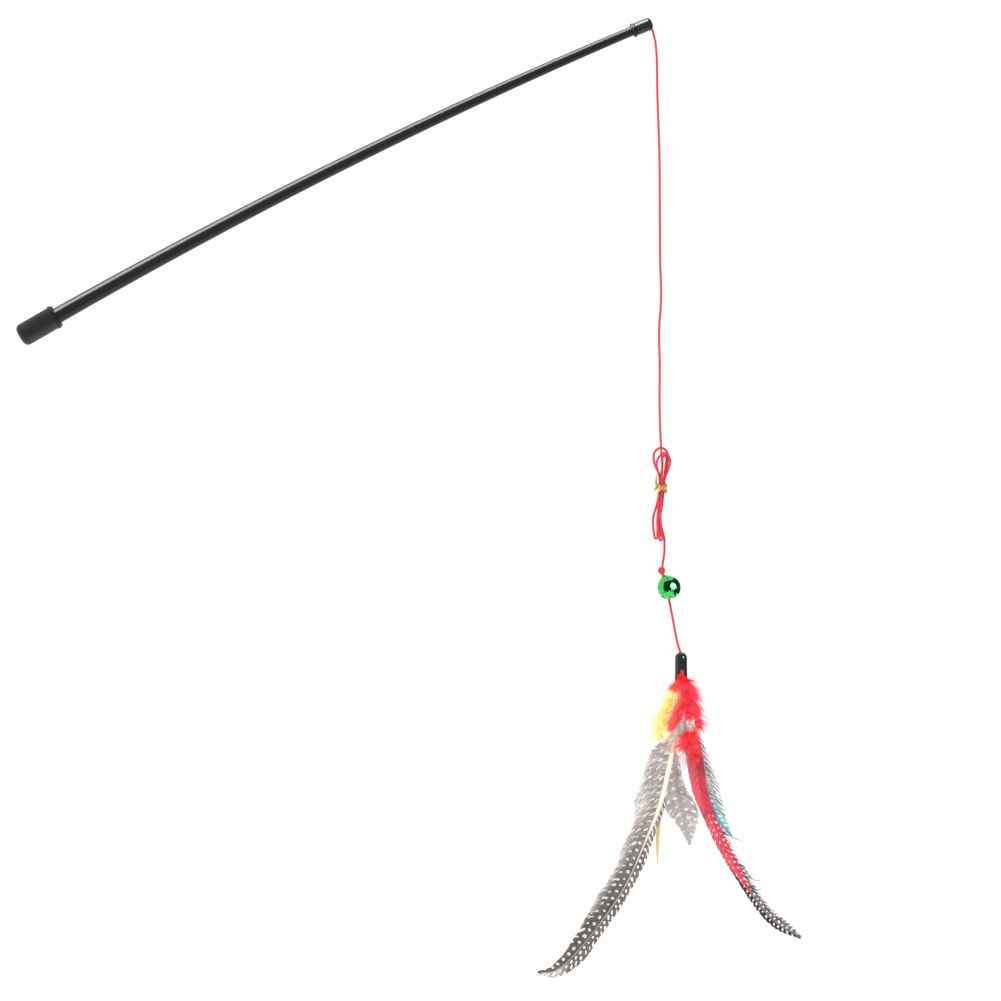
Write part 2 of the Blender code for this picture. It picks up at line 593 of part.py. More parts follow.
def tie_band(name, tilt_deg, lift):
    """A flat foil band round the hank's waist."""
    shape = bmesh.new()
    turn = Matrix.Rotation(math.radians(tilt_deg), 3, "Y")
    rows = []
    for x, y, nx, ny in stadium(TIE_ROOM_X, TIE_ROOM_Y, 24):
        ring = []
        for out, up in ((0, -0.5), (1, -0.5), (1, 0.5), (0, 0.5)):
            spot = Vector((x + nx * out * TIE_THICKNESS, y + ny * out * TIE_THICKNESS, up * TIE_BAND_HEIGHT))
            place = turn @ spot + Vector((TIE_X, 0.0, HANK_WAIST_Z + lift))
            ring.append(shape.verts.new(place * MM))
        rows.append(ring)
    for row, following in zip(rows, rows[1:] + rows[:1]):
        for k in range(4):
            shape.faces.new((row[k], row[(k + 1) % 4], following[(k + 1) % 4], following[k]))
    bmesh.ops.recalc_face_normals(shape, faces=shape.faces)
    mesh = bpy.data.meshes.new(name)
    shape.to_mesh(mesh)
    shape.free()
    obj = bpy.data.objects.new(name, mesh)
    parts.objects.link(obj)
    return obj


def tie_tail(name, start, end):
    """A flat strip of the twist tie, twisted half a turn on its way."""
    shape = bmesh.new()
    start, end = Vector(start), Vector(end)
    along = (end - start).normalized()
    across = along.cross(Vector((0, 1, 0))).normalized()
    deep = along.cross(across)
    rows = []
    for step in range(7):
        share = step / 6
        turn = math.pi * share
        wide = (across * math.cos(turn) + deep * math.sin(turn)) * TIE_TAIL_WIDTH / 2
        thin = (deep * math.cos(turn) - across * math.sin(turn)) * TIE_THICKNESS / 2
        middle = start.lerp(end, share)
        rows.append([shape.verts.new((middle + a * wide + b * thin) * MM)
                     for a, b in ((1, 1), (-1, 1), (-1, -1), (1, -1))])
    for row, following in zip(rows, rows[1:]):
        for k in range(4):
            shape.faces.new((row[k], row[(k + 1) % 4], following[(k + 1) % 4], following[k]))
    shape.faces.new(rows[0])
    shape.faces.new(rows[-1])
    bmesh.ops.recalc_face_normals(shape, faces=shape.faces)
    mesh = bpy.data.meshes.new(name)
    shape.to_mesh(mesh)
    shape.free()
    obj = bpy.data.objects.new(name, mesh)
    parts.objects.link(obj)
    return obj


hank_tie = tie_band("hank_tie_band", TIE_TILT, 0.35)
tail_root = (TIE_X - TIE_TAIL_ROOT, -0.6, HANK_WAIST_Z + 0.6)
tie_pieces = [
    tie_band("tie_band_b", -TIE_TILT, -0.35),
    tie_tail("tie_tail_up", tail_root, (TIE_X - 2.3, -3.6, HANK_WAIST_Z + 5.6)),
    tie_tail("tie_tail_down", (TIE_X - TIE_TAIL_ROOT, -0.9, HANK_WAIST_Z),
             (TIE_X - 3.6, -2.6, HANK_WAIST_Z - 1.6)),
]
for piece in tie_pieces:
    hide_helper(piece)
    add_boolean(hank_tie, piece, "UNION")
adopt(hank_tie, "hank_tie", GOLD_FOIL, line_body)

# Knot over the bell, with the loop that the bell hangs on and the stub of the cord that goes on
bell_lean = math.radians(BELL_TILT)
bell_up = Vector((-math.sin(bell_lean), 0.0, math.cos(bell_lean)))
bell_side = Vector((math.cos(bell_lean), 0.0, math.sin(bell_lean)))
knot_centre = Vector(KNOT_CENTRE)
bell_pivot = knot_centre - bell_up * KNOT_TO_PIVOT
bell_pivot.y = BELL_Y
bell_centre = bell_pivot - bell_up * PIVOT_TO_BELL
lure_pivot = Vector(LURE_PIVOT)
lower_route = smooth_points([lure_pivot, *LOWER_ROUTE], CORD_STEP)
lower_direction = (Vector(lower_route[1]) - lure_pivot).normalized()
stub_end = lure_pivot - lower_direction * joint_gap
stub_length = (stub_end - knot_centre).length
stub = cylinder("knot_stub", knot_centre.lerp(stub_end, 0.5), stub_end - knot_centre, CORD_D / 2,
                stub_length, 8)
hang_loop = torus("knot_hang_loop", bell_pivot + bell_up * LOOP_RADIUS, bell_side, LOOP_RADIUS,
                  LOOP_CORD_D / 2)
knot("bell_knot", knot_centre, (0.1, 0.0, 1.0), line_body, wrap=1.1, extras=(stub, hang_loop))

# Bell
bell_body = body_empty("bell_frame", bell_pivot)
bell_place = aimed(bell_centre, bell_up)
bell_radius = BELL_D / 2
inside = bell_radius - BELL_WALL
seam = SEATED_GAP / 2
seam_angle = math.degrees(math.asin(0.6 / bell_radius))
crimp = bell_radius + 0.25
half_profile = arc(0, 0, bell_radius, 90, seam_angle, 9)
half_profile += [(crimp, 0.5), (crimp, seam)]
half_profile += arc(0, 0, inside, math.degrees(math.asin(seam / inside)), 90, 8)
half_profile[0] = (0.0, bell_radius)
half_profile[-1] = (0.0, inside)
top_shell = turned("bell_top_shell", half_profile, GREEN_METAL, bell_body, bell_place)
bottom_profile = [(r, -z) for r, z in reversed(half_profile)]
bottom_shell = turned("bell_bottom_shell", bottom_profile, GREEN_METAL, bell_body, bell_place)


def bell_spot(side, depth, up):
    """Point in the bell's own axes, from its middle."""
    return bell_centre + bell_side * side + Vector((0, 1, 0)) * depth + bell_up * up


foot_height = math.sqrt(bell_radius ** 2 - BAIL_FOOT ** 2)
for sign, side_name in ((-1, "left"), (1, "right")):
    drill = cylinder(f"bail_hole_{side_name}", bell_spot(sign * BAIL_FOOT, 0, foot_height), bell_up,
                     BAIL_WIRE_D / 2 + 0.2, 2.4, 10)
    hide_helper(drill)
    add_boolean(top_shell, drill, "DIFFERENCE")

slot_reach = bell_radius * math.sin(math.radians(SLOT_END_ANGLE))
for index in range(2):
    bpy.ops.mesh.primitive_cube_add(size=MM)
    slot = bpy.context.object
    slot.name = f"bell_slot_{index}"
    turn = Matrix.Rotation(math.radians(45 + 90 * index), 4, "Z")
    sizes = Matrix.Diagonal((2 * slot_reach, SLOT_WIDTH, 3.4, 1.0))
    slot.data.transform(sizes)
    slot.matrix_world = bell_place @ turn @ Matrix.Translation((0, 0, -4.8 * MM))
    hide_helper(slot)
    add_boolean(bottom_shell, slot, "DIFFERENCE")
    for end in (-1, 1):
        lean = math.radians(SLOT_END_ANGLE)
        out = turn @ Vector((end * math.sin(lean), 0, -math.cos(lean)))
        world_out = bell_place.to_3x3() @ out
        drill = cylinder(f"bell_slot_end_{index}_{end + 1}", bell_centre + world_out * bell_radius,
                         world_out, SLOT_WIDTH, 2.0, 12)
        hide_helper(drill)
        add_boolean(bottom_shell, drill, "DIFFERENCE")

pivot_height = PIVOT_TO_BELL
bail_half = [(BAIL_FOOT + 0.55, 3.75), (BAIL_FOOT + 0.15, 3.85), (BAIL_FOOT, 4.2), (BAIL_FOOT, 4.95)]
bail_arc = arc(0, pivot_height, BAIL_ARC_RADIUS, -8, 188, 11)
bail_path = bail_half + bail_arc + [(-side, up) for side, up in reversed(bail_half)]
bail_points = [bell_spot(side, 0, up) for side, up in bail_path]
curve_tube("bell_bail", bail_points, [BAIL_WIRE_D / 2] * len(bail_points), GREEN_METAL, bell_body, 1)

pellet_rest = bell_centre - Vector((0, 0, inside - PELLET_D / 2 - 0.15))
pellet_body = body_empty("pellet_frame", pellet_rest)
adopt(ball("pellet", pellet_rest, PELLET_D / 2), "bell_pellet", STEEL, pellet_body)

# Cord on to the lure
drop_body = body_empty("lure_drop_frame", LURE_PIVOT)
hole_top = Vector((LURE_X, 0.0, LURE_TOP_Z - 0.3))
lower_stop = Vector((LURE_X, 0.0, LURE_KNOT_Z + 1.55))
lower_path = smooth_points([lure_pivot, *LOWER_ROUTE, hole_top, lower_stop], 2.2)
lower_path[-1] = lower_stop
cord("cord_lower", lower_path, drop_body, True)
knot("lure_stop_knot", (LURE_X, 0.0, LURE_KNOT_Z), (0, 0, 1), drop_body, wrap=0.7)

# Lure cap and plug
lure_body = body_empty("lure_frame", (LURE_X, 0.0, LURE_TOP_Z))
mouth = Matrix.Translation(Vector((LURE_X, 0.0, LURE_MOUTH_Z)) * MM)
cap_height = LURE_TOP_Z - LURE_MOUTH_Z
hole_radius = LURE_HOLE_D / 2
top_radius = LURE_CAP_TOP_D / 2
mouth_radius = LURE_CAP_MOUTH_D / 2
inner_top = top_radius - LURE_CAP_WALL
start_angle = math.degrees(math.acos(hole_radius / top_radius))
inner_angle = math.degrees(math.acos(hole_radius / inner_top))
lure_profile = arc(0, cap_height - top_radius, top_radius, start_angle, 0, 8)
lure_profile += [(mouth_radius, 0.4), (mouth_radius - 0.15, 0.0), (mouth_radius - LURE_CAP_WALL, 0.0)]
lure_profile += arc(0, cap_height - top_radius, inner_top, 0, inner_angle, 7)
turned("lure_cap", lure_profile, BLACK_GLOSS, lure_body, mouth, closed=True)

plug_radius = inner_top - SEATED_GAP
plug_profile = [(0.0, PLUG_TOP), (plug_radius - 0.4, PLUG_TOP), (plug_radius, PLUG_TOP - 0.4)]
plug_profile += [(plug_radius, PLUG_BOTTOM), (0.0, PLUG_BOTTOM)]
turned("lure_plug", plug_profile, GLUE, lure_body, mouth, sides=20)

SECTION_SIDES = 14
HALF_SECTION = [-1.0, -0.55, None, 0.0, None, 0.55, 1.0]


def feather_section(left, right, quill, blade, curl):
    """Cross-section of 14 points (across, deep): a round quill that widens to a thin vane."""
    edge = min(VANE_THICKNESS, quill) / 2
    points = []
    for side in (1, -1):
        row = []
        for place in HALF_SECTION:
            index = len(row)
            angle = math.pi - math.pi * (index + 0.5) / 7
            round_point = (quill / 2 * math.cos(angle), side * quill / 2 * math.sin(angle))
            if place is None:
                across = -min(quill * 0.55, left * 0.4) if index == 2 else min(quill * 0.55, right * 0.4)
                deep = side * edge
            elif place == 0.0:
                across, deep = 0.0, side * quill / 2
            else:
                across = place * (left if place < 0 else right)
                deep = side * edge
            width = left if across < 0 else right
            dish = curl * (across / max(width, 1.0)) ** 2 * min(width / 8, 1.0)
            flat_point = (across, deep + dish)
            row.append(tuple((1 - blade) * a + blade * b for a, b in zip(round_point, flat_point)))
        points += row if side == 1 else row[::-1]
    return points


def loft(name, rings, material, empty, closed_way=False):
    """Skin over rings of world points in millimetres, with flat ends."""
    shape = bmesh.new()
    origin = empty.location / MM
    rows = [[shape.verts.new((Vector(p) - origin) * MM) for p in ring] for ring in rings]
    count = len(rows[0])
    for row, following in zip(rows, rows[1:]):
        for k in range(count):
            shape.faces.new((row[k], row[(k + 1) % count], following[(k + 1) % count], following[k]))
    shape.faces.new(rows[0])
    shape.faces.new(rows[-1])
    bmesh.ops.triangulate(shape, faces=[f for f in shape.faces if len(f.verts) > 4])
    bmesh.ops.recalc_face_normals(shape, faces=shape.faces)
    mesh = bpy.data.meshes.new(name)
    shape.to_mesh(mesh)
    shape.free()
    mesh.shade_smooth()
    return add_part(name, mesh, material, empty, Matrix.Translation(empty.location))


def feather(name, slot, spine, vane, quill, curl, material):
    """A feather in one plane facing the viewer: a quill along its spine, a vane on both sides."""
    mouth_point = Vector((LURE_X, 0.0, LURE_MOUTH_Z))
    root = Vector((0, 0, 0))
    if slot is not None:
        turn = math.radians(slot)
        root = Vector((math.cos(turn), math.sin(turn), 0)) * QUILL_RING_RADIUS
    top = root + Vector((0, 0, QUILL_TOP))
    path = smooth_points([top, root - Vector((0, 0, 1.5)), *spine], FEATHER_STATION_STEP / 3)
    along = np.r_[0.0, np.cumsum(np.linalg.norm(np.diff(path, axis=0), axis=1))]
    bare_end = vane[0][0] if vane else along[-1]
    marks = list(np.arange(0.0, bare_end, FEATHER_STATION_STEP))
    marks += list(np.arange(bare_end, along[-1], FEATHER_STATION_STEP * 0.75)) + [along[-1]]
    for row in vane:
        if min(abs(row[0] - mark) for mark in marks) > 1.0 and row[0] < along[-1] - 1.0:
            marks.append(row[0])
    rings = []
    for mark in sorted(marks):
        middle = Vector([np.interp(mark, along, path[:, axis]) for axis in range(3)])
        ahead = Vector([np.interp(mark + 1.0, along, path[:, axis]) for axis in range(3)])
        behind = Vector([np.interp(mark - 1.0, along, path[:, axis]) for axis in range(3)])
        tangent = (ahead - behind).normalized()
        across = Vector((0, 1, 0)).cross(tangent).normalized()
        if across.x < 0:
            across = -across
        deep = tangent.cross(across)
        if deep.y > 0:
            deep = -deep
        width = np.interp(mark, *np.array(quill).T)
        left = right = width / 2
        blade = 0.0
        if vane:
            table = np.array(vane)
            left = max(left, np.interp(mark, table[:, 0], table[:, 1]))
            right = max(right, np.interp(mark, table[:, 0], table[:, 2]))
            blade = min(1.0, max(0.0, (mark - bare_end) / 2.0))
        section = feather_section(left, right, max(width, 0.42), blade, curl)
        rings.append([mouth_point + middle + across * a + deep * d for a, d in section])
    return loft(name, rings, material, lure_body)


FEATHER_MATERIALS = {
    "guinea_feather_left": GUINEA, "guinea_feather_short": PALE_GREY,
    "guinea_feather_right": GUINEA, "teal_feather": TEAL_DYE, "red_feather": RED_DYE,
    "grey_down_feather": PALE_GREY, "bare_quill": AMBER,
}
for name, shape in FEATHERS.items():
    feather(name, material=FEATHER_MATERIALS[name], **shape)


def lumps(angle, height):
    """How far the tufts of a marabou plume stand out, as a share of its width."""
    return 1.0 + 0.10 * math.sin(3 * angle + 0.9 * height) + 0.06 * math.sin(5 * angle - 1.4 * height)


def plume(name, table, material):
    """A soft tuft: tufted oval sections along its spine."""
    spine = np.array([(*point, across, deep) for point, across, deep in table])
    fine_marks = np.linspace(0, len(spine) - 1, 2 * len(spine) - 1)
    rings = []
    for mark in fine_marks:
        x, y, z, across, deep = (np.interp(mark, range(len(spine)), spine[:, k]) for k in range(5))
        ring = []
        for index in range(PLUME_SIDES):
            angle = math.tau * index / PLUME_SIDES
            grow = lumps(angle, z)
            ring.append((LURE_X + x + across * grow * math.cos(angle),
                         y + deep * grow * math.sin(angle),
                         LURE_MOUTH_Z + z + 0.25 * across * math.cos(angle)))
        rings.append(ring)
    return loft(name, rings, material, lure_body)


def sleeve_sector(name, table, from_deg, to_deg, material):
    """A tuft wrapped round part of the cap's mouth, with tufted outside and plain bore."""
    angles = np.radians(np.linspace(from_deg, to_deg, SECTOR_SIDES))
    top = table[0][0]
    rings = []
    for z, bore_x, bore_radius, outer_radius, shift in table:
        outside = []
        for angle in angles:
            tuft = (lumps(angle, z) - 1.0) * min(1.0, (top - z) / FULL_TUFT_DEPTH)
            reach = outer_radius * (1.0 + tuft)
            outside.append((LURE_X + shift + reach * math.cos(angle), reach * math.sin(angle),
                            LURE_MOUTH_Z + z))
        inside_row = [(LURE_X + bore_x + bore_radius * math.cos(angle), bore_radius * math.sin(angle),
                       LURE_MOUTH_Z + z) for angle in angles[::-1]]
        rings.append(outside + inside_row)
    return loft(name, rings, material, lure_body)


for name, (from_deg, to_deg) in RED_SECTORS.items():
    sleeve_sector(name, RED_SLEEVE, from_deg, to_deg, RED_DYE)
plume("red_marabou_lower", LOWER_RED_PLUME, RED_DYE)
plume("yellow_marabou", YELLOW_PLUME, YELLOW_DYE)
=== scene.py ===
import math

import bpy
import numpy as np
from mathutils import Matrix, Vector


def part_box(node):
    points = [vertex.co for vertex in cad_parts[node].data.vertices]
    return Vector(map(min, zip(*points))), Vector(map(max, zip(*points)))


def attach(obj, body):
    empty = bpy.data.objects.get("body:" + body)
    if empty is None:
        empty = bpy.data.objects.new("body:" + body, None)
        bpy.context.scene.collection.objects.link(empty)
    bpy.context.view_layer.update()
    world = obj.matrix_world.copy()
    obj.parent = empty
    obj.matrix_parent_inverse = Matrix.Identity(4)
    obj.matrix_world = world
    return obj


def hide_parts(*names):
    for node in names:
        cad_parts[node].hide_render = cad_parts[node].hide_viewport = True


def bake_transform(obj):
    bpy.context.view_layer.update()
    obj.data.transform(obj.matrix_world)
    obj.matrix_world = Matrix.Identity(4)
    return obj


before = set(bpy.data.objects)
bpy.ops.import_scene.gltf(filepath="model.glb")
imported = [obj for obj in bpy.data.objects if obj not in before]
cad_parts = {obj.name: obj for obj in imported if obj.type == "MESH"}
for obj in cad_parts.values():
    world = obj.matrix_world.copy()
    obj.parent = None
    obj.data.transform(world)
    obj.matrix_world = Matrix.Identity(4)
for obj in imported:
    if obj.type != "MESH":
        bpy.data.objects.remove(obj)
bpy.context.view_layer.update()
bpy.ops.object.select_all(action="DESELECT")

# Camera: level and straight on, with a long lens. The picture's middle is 172.5 mm to the right of
# the grip and 87.7 mm below it, and 425.9 mm of the wand's plane fill the picture's width.
MM = 0.001
CAMERA_AWAY, PICTURE_WIDTH, FILM_WIDTH = 1200.0, 425.9, 36.0
PICTURE_MIDDLE_X, PICTURE_MIDDLE_Z = 172.5, -87.7


def in_scene(name, data):
    """An object for a mesh, a curve, a lens or a lamp."""
    made = bpy.data.objects.new(name, data)
    bpy.context.scene.collection.objects.link(made)
    return made


lens = bpy.data.cameras.new("camera")
lens.sensor_width = FILM_WIDTH
lens.lens = FILM_WIDTH * CAMERA_AWAY / PICTURE_WIDTH
camera = in_scene("camera", lens)
camera.location = (PICTURE_MIDDLE_X * MM, -CAMERA_AWAY * MM, PICTURE_MIDDLE_Z * MM)
camera.rotation_euler = (math.radians(90), 0, 0)
bpy.context.scene.camera = camera

# Rod: a drooping, tapered plastic rod in black gloss. It is drawn as one long bevelled line through
# the same droop as the solid, thick at the butt and thin at the tip, and then made a mesh.
ROD_SLOPE, ROD_DROOP = 0.559, 0.0003
ROD_MEAN_SLOPE = 0.487
ROD_BUTT_X, ROD_TIP_X = -30.0, 232.2
ROD_BUTT_D, ROD_TIP_D = 7.0, 4.0


def rod_point(x):
    return Vector((x, 0.0, ROD_SLOPE * x - ROD_DROOP * x * x))


def rod_direction(x):
    return Vector((1.0, 0.0, ROD_SLOPE - 2 * ROD_DROOP * x)).normalized()


class Value:
    """A shader output that can stand in a sum: each operator adds the Math node that it means."""

    def __init__(self, nodes, socket):
        self.nodes = nodes
        self.socket = socket

    def math(self, operation, *others):
        return self.nodes.add("Math", {"operation": operation}, dict(enumerate((self, *others))))

    def __add__(self, other):
        return self.math("ADD", other)

    __radd__ = __add__

    def __sub__(self, other):
        return self.math("SUBTRACT", other)

    def __rsub__(self, other):
        return self.nodes.add("Math", {"operation": "SUBTRACT"}, {0: other, 1: self})

    def __mul__(self, other):
        return self.math("MULTIPLY", other)

    __rmul__ = __mul__

    def __truediv__(self, other):
        return self.math("DIVIDE", other)

    def __pow__(self, other):
        return self.math("POWER", other)

    def blend(self, low, high, start=0.0, end=1.0):
        """Turns smoothly from start to end while this value goes from low to high."""
        settings = {"interpolation_type": "SMOOTHSTEP"}
        return self.nodes.add("MapRange", settings, {0: self, 1: low, 2: high, 3: start, 4: end})


class Nodes:
    """A node tree that grows through add()."""

    def __init__(self, tree):
        self.tree = tree

    def add(self, kind, settings=None, inputs=None, output=0):
        """Adds a node, sets it up, fills or links its sockets and gives the output that is asked for."""
        made = self.tree.nodes.new("ShaderNode" + kind)
        for name, value in (settings or {}).items():
            if name != "stops":
                setattr(made, name, value)
                continue
            ramp = made.color_ramp.elements
            for place, colour in value[1:-1]:
                ramp.new(place).color = (*colour, 1.0)
            for stop, (place, colour) in ((ramp[0], value[0]), (ramp[len(ramp) - 1], value[-1])):
                stop.position = place
                stop.color = (*colour, 1.0)
        for key, value in (inputs or {}).items():
            if isinstance(value, Value):
                self.tree.links.new(value.socket, made.inputs[key])
            else:
                made.inputs[key].default_value = value
        return Value(self, made.outputs[output])


class Finish(Nodes):
    """A material of one Principled shader: constants are set on its sockets, and the rest is linked."""

    def __init__(self, name, **constants):
        self.material = bpy.data.materials.new(name)
        self.material.use_nodes = True
        super().__init__(self.material.node_tree)
        self.shader = self.tree.nodes["Principled BSDF"]
        for socket, value in constants.items():
            self.shader.inputs[socket.replace("_", " ")].default_value = value
        self.place = self.add("TexCoord", output="Object")

    def link(self, **sockets):
        for socket, value in sockets.items():
            self.tree.links.new(value.socket, self.shader.inputs[socket.replace("_", " ")])

    def noise(self, scale, detail=2.0, vector=None, roughness=0.5):
        """Soft noise; the scale is in lumps a metre."""
        vector = vector or self.place
        return self.add("TexNoise", {}, {"Vector": vector, "Scale": scale, "Detail": detail, "Roughness": roughness})

    def mix(self, factor, low, high, mode="MIX"):
        """Mixes two colours, each a link or three numbers."""
        low, high = ((*c, 1.0) if isinstance(c, tuple) else c for c in (low, high))
        settings = {"data_type": "RGBA", "blend_type": mode}
        return self.add("Mix", settings, {0: factor, 6: low, 7: high}, output=2)

    def tint(self, colour, amount):
        """A colour made lighter or darker by a value round 1."""
        grey = self.add("CombineColor", {}, {0: amount, 1: amount, 2: amount})
        return self.mix(1.0, colour, grey, "MULTIPLY")

    def map(self, name):
        """The two values of one of the piece's own maps."""
        both = self.add("UVMap", {"uv_map": name})
        parted = self.add("SeparateXYZ", {}, {0: both})
        return parted, Value(self, parted.socket.node.outputs[1])

    def bump(self, height, distance, strength=1.0):
        made = self.add("Bump", {}, {"Height": height, "Distance": distance, "Strength": strength})
        self.tree.links.new(made.socket, self.shader.inputs["Normal"])


def settle(piece, finish, body, slot, *nodes):
    """Puts a finish on a piece, which rides on a body and stands for the solids that are named."""
    piece.data.materials.append(finish.material)
    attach(piece, body)
    if nodes:
        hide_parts(*nodes)


def activate(piece):
    bpy.ops.object.select_all(action="DESELECT")
    piece.select_set(True)
    bpy.context.view_layer.objects.active = piece


rod_x = np.linspace(ROD_BUTT_X, ROD_TIP_X, 90)
rod_width = ROD_BUTT_D + (ROD_TIP_D - ROD_BUTT_D) * (rod_x - ROD_BUTT_X) / (ROD_TIP_X - ROD_BUTT_X)
rod_curve = bpy.data.curves.new("rod_gloss_black", "CURVE")
rod_curve.dimensions = "3D"
rod_curve.bevel_depth = MM
rod_curve.bevel_resolution = 18
rod_curve.use_fill_caps = True
rod_line = rod_curve.splines.new("POLY")
rod_line.points.add(len(rod_x) - 1)
for spot, x, width in zip(rod_line.points, rod_x, rod_width):
    spot.co = (*(rod_point(x) * MM), 1.0)
    spot.radius = width / 2
rod_line.use_smooth = True
rod = in_scene("rod_gloss_black", rod_curve)
activate(rod)
bpy.ops.object.convert(target="MESH")
rod.data.shade_smooth()
rod.data.name = "rod_gloss_black"

rod_finish = Finish("rod_black_gloss", IOR=1.3)
rod_along = rod_finish.add("Mapping", {}, {
    "Vector": rod_finish.place, "Rotation": (0, math.atan(ROD_MEAN_SLOPE), 0), "Scale": (0.04, 1, 1)})
rod_scuffs = rod_finish.noise(2600, 4, rod_along)
rod_dust = rod_finish.noise(900, 5, roughness=0.7)
rod_finish.link(
    Base_Color=rod_finish.mix(rod_dust.blend(0.5, 0.8, 0.0, 0.35), (0.018, 0.0175, 0.02), (0.035, 0.034, 0.038)),
    Roughness=rod_scuffs * 0.08 + rod_dust * 0.06 + 0.06)
rod_finish.bump(rod_scuffs, 0.000004, 0.3)
settle(rod, rod_finish, "wand", "rod_gloss", "rod")

# Butt cap: a soft rubber cap pushed on the rod's thick end, with a bead round its mouth and a
# rounded end. Its outline is spun round the rod's line, in edit mode, from a row of points.
SEATED_GAP = 0.3


def aimed(point, direction):
    """Matrix with its origin at a point and its own Z along a direction."""
    turn = Vector(direction).to_track_quat("Z", "Y").to_matrix().to_4x4()
    return Matrix.Translation(Vector(point) * MM) @ turn


def arc(centre_r, centre_z, radius, start_deg, end_deg, count):
    angles = np.radians(np.linspace(start_deg, end_deg, count))
    return [(centre_r + radius * math.cos(a), centre_z + radius * math.sin(a)) for a in angles]


def spun(name, outline, matrix, steps=72, closed=False):
    """Spins an outline of (radius, height) round its own Z and puts it in place."""
    mesh = bpy.data.meshes.new(name)
    edges = [(i, i + 1) for i in range(len(outline) - 1)]
    if closed:
        edges.append((len(outline) - 1, 0))
    mesh.from_pydata([(r * MM, 0.0, z * MM) for r, z in outline], edges, [])
    piece = in_scene(name, mesh)
    activate(piece)
    bpy.ops.object.mode_set(mode="EDIT")
    bpy.ops.mesh.select_all(action="SELECT")
    bpy.ops.mesh.spin(steps=steps, angle=math.tau, center=(0, 0, 0), axis=(0, 0, 1))
    bpy.ops.mesh.select_all(action="SELECT")
    bpy.ops.mesh.remove_doubles(threshold=2e-6)
    bpy.ops.mesh.normals_make_consistent(inside=False)
    bpy.ops.object.mode_set(mode="OBJECT")
    bpy.ops.object.shade_smooth_by_angle(angle=math.radians(40))
    mesh.transform(matrix)
    return piece


butt_bore = ROD_BUTT_D / 2 + SEATED_GAP
butt_outer, butt_corner = butt_bore + 1.1, 2.6
butt_outline = [(0, 0), (1.4, 0), (butt_corner, 0)]
butt_outline += arc(butt_corner, butt_corner - butt_outer, butt_outer - butt_corner, 80, 0, 8)
butt_outline += [(butt_outer, -6.0), (butt_outer, -15.0)]
butt_outline += arc(butt_outer, -16.6, 0.45, 75, -75, 8)
butt_outline += [
    (butt_outer, -17.7), (butt_outer - 0.15, -18.0), (butt_bore, -18.0), (butt_bore, -1.8), (0.0, -1.8)]
butt_out = -rod_direction(ROD_BUTT_X)
butt_cap = spun("butt_cap_rubber", butt_outline, aimed(rod_point(ROD_BUTT_X) + butt_out * 2.1, butt_out))

rubber_finish = Finish("black_rubber", IOR=1.45)
rubber_grain = rubber_finish.noise(4200, 3)
rubber_wear = rubber_finish.noise(260, 3)
rubber_finish.link(
    Base_Color=rubber_finish.mix(rubber_wear, (0.008, 0.008, 0.009), (0.026, 0.025, 0.025)),
    Roughness=rubber_grain * 0.2 + 0.42)
rubber_finish.bump(rubber_grain, 0.00004, 0.6)
settle(butt_cap, rubber_finish, "wand", "black_rubber", "butt_cap")

# Tip cap: a glossy black cap slipped over the rod's thin end. Its outline, with a rounded end and a
# bored mouth, is spun, and the cord's hole is cut low on the rounded end.
CAP_END_X = 236.9
CAP_LENGTH, CAP_D, CAP_BORE_D, CAP_END_WALL = 7.3, 5.5, 4.6, 1.4
CAP_END_ROUND, CAP_INNER_ROUND = 1.75, 1.2
tip_axis = rod_direction(CAP_END_X)
tip_down = Vector((tip_axis.z, 0.0, -tip_axis.x))
cap_end = rod_point(CAP_END_X)
cap_outer, cap_bore, cap_corner = CAP_D / 2, CAP_BORE_D / 2, CAP_D / 2 - CAP_END_ROUND
cap_outline = [(0, 0.02), (cap_corner * 0.6, 0.01)]
cap_outline += arc(cap_corner, -CAP_END_ROUND, CAP_END_ROUND, 86, 0, 14)
cap_outline += [
    (cap_outer, -CAP_LENGTH + 0.3), (cap_outer - 0.06, -CAP_LENGTH + 0.08), (cap_outer - 0.2, -CAP_LENGTH),
    (cap_bore, -CAP_LENGTH), (cap_bore, -CAP_END_WALL - CAP_INNER_ROUND)]
cap_outline += arc(cap_bore - CAP_INNER_ROUND, -CAP_END_WALL - CAP_INNER_ROUND, CAP_INNER_ROUND, 10, 90, 8)
cap_outline += [(0.0, -CAP_END_WALL)]
tip_cap = spun("tip_cap_gloss", cap_outline, aimed(cap_end, tip_axis))

exit_lean = math.radians(70)
exit_axis = tip_axis * math.cos(exit_lean) + tip_down * math.sin(exit_lean)
exit_corner = cap_end - tip_axis * CAP_END_ROUND + tip_down * (CAP_D / 2 - CAP_END_ROUND)
exit_point = exit_corner + exit_axis * CAP_END_ROUND


def cut(piece, cutter):
    """Cuts a closed shape out of a piece, and removes the cutter."""
    activate(piece)
    modifier = piece.modifiers.new("cut", "BOOLEAN")
    modifier.operation = "DIFFERENCE"
    modifier.object = cutter
    bpy.ops.object.modifier_apply(modifier="cut")
    bpy.data.objects.remove(cutter, do_unlink=True)


def drill(piece, point, way, radius, depth, sides=32):
    """Cuts a round hole at a point."""
    bpy.ops.mesh.primitive_cylinder_add(vertices=sides, radius=radius * MM, depth=depth * MM)
    bit = bpy.context.object
    bit.data.transform(aimed(point, way))
    cut(piece, bit)


drill(tip_cap, exit_point, exit_axis, 0.85, 3.2)
activate(tip_cap)
bpy.ops.object.shade_smooth_by_angle(angle=math.radians(35))

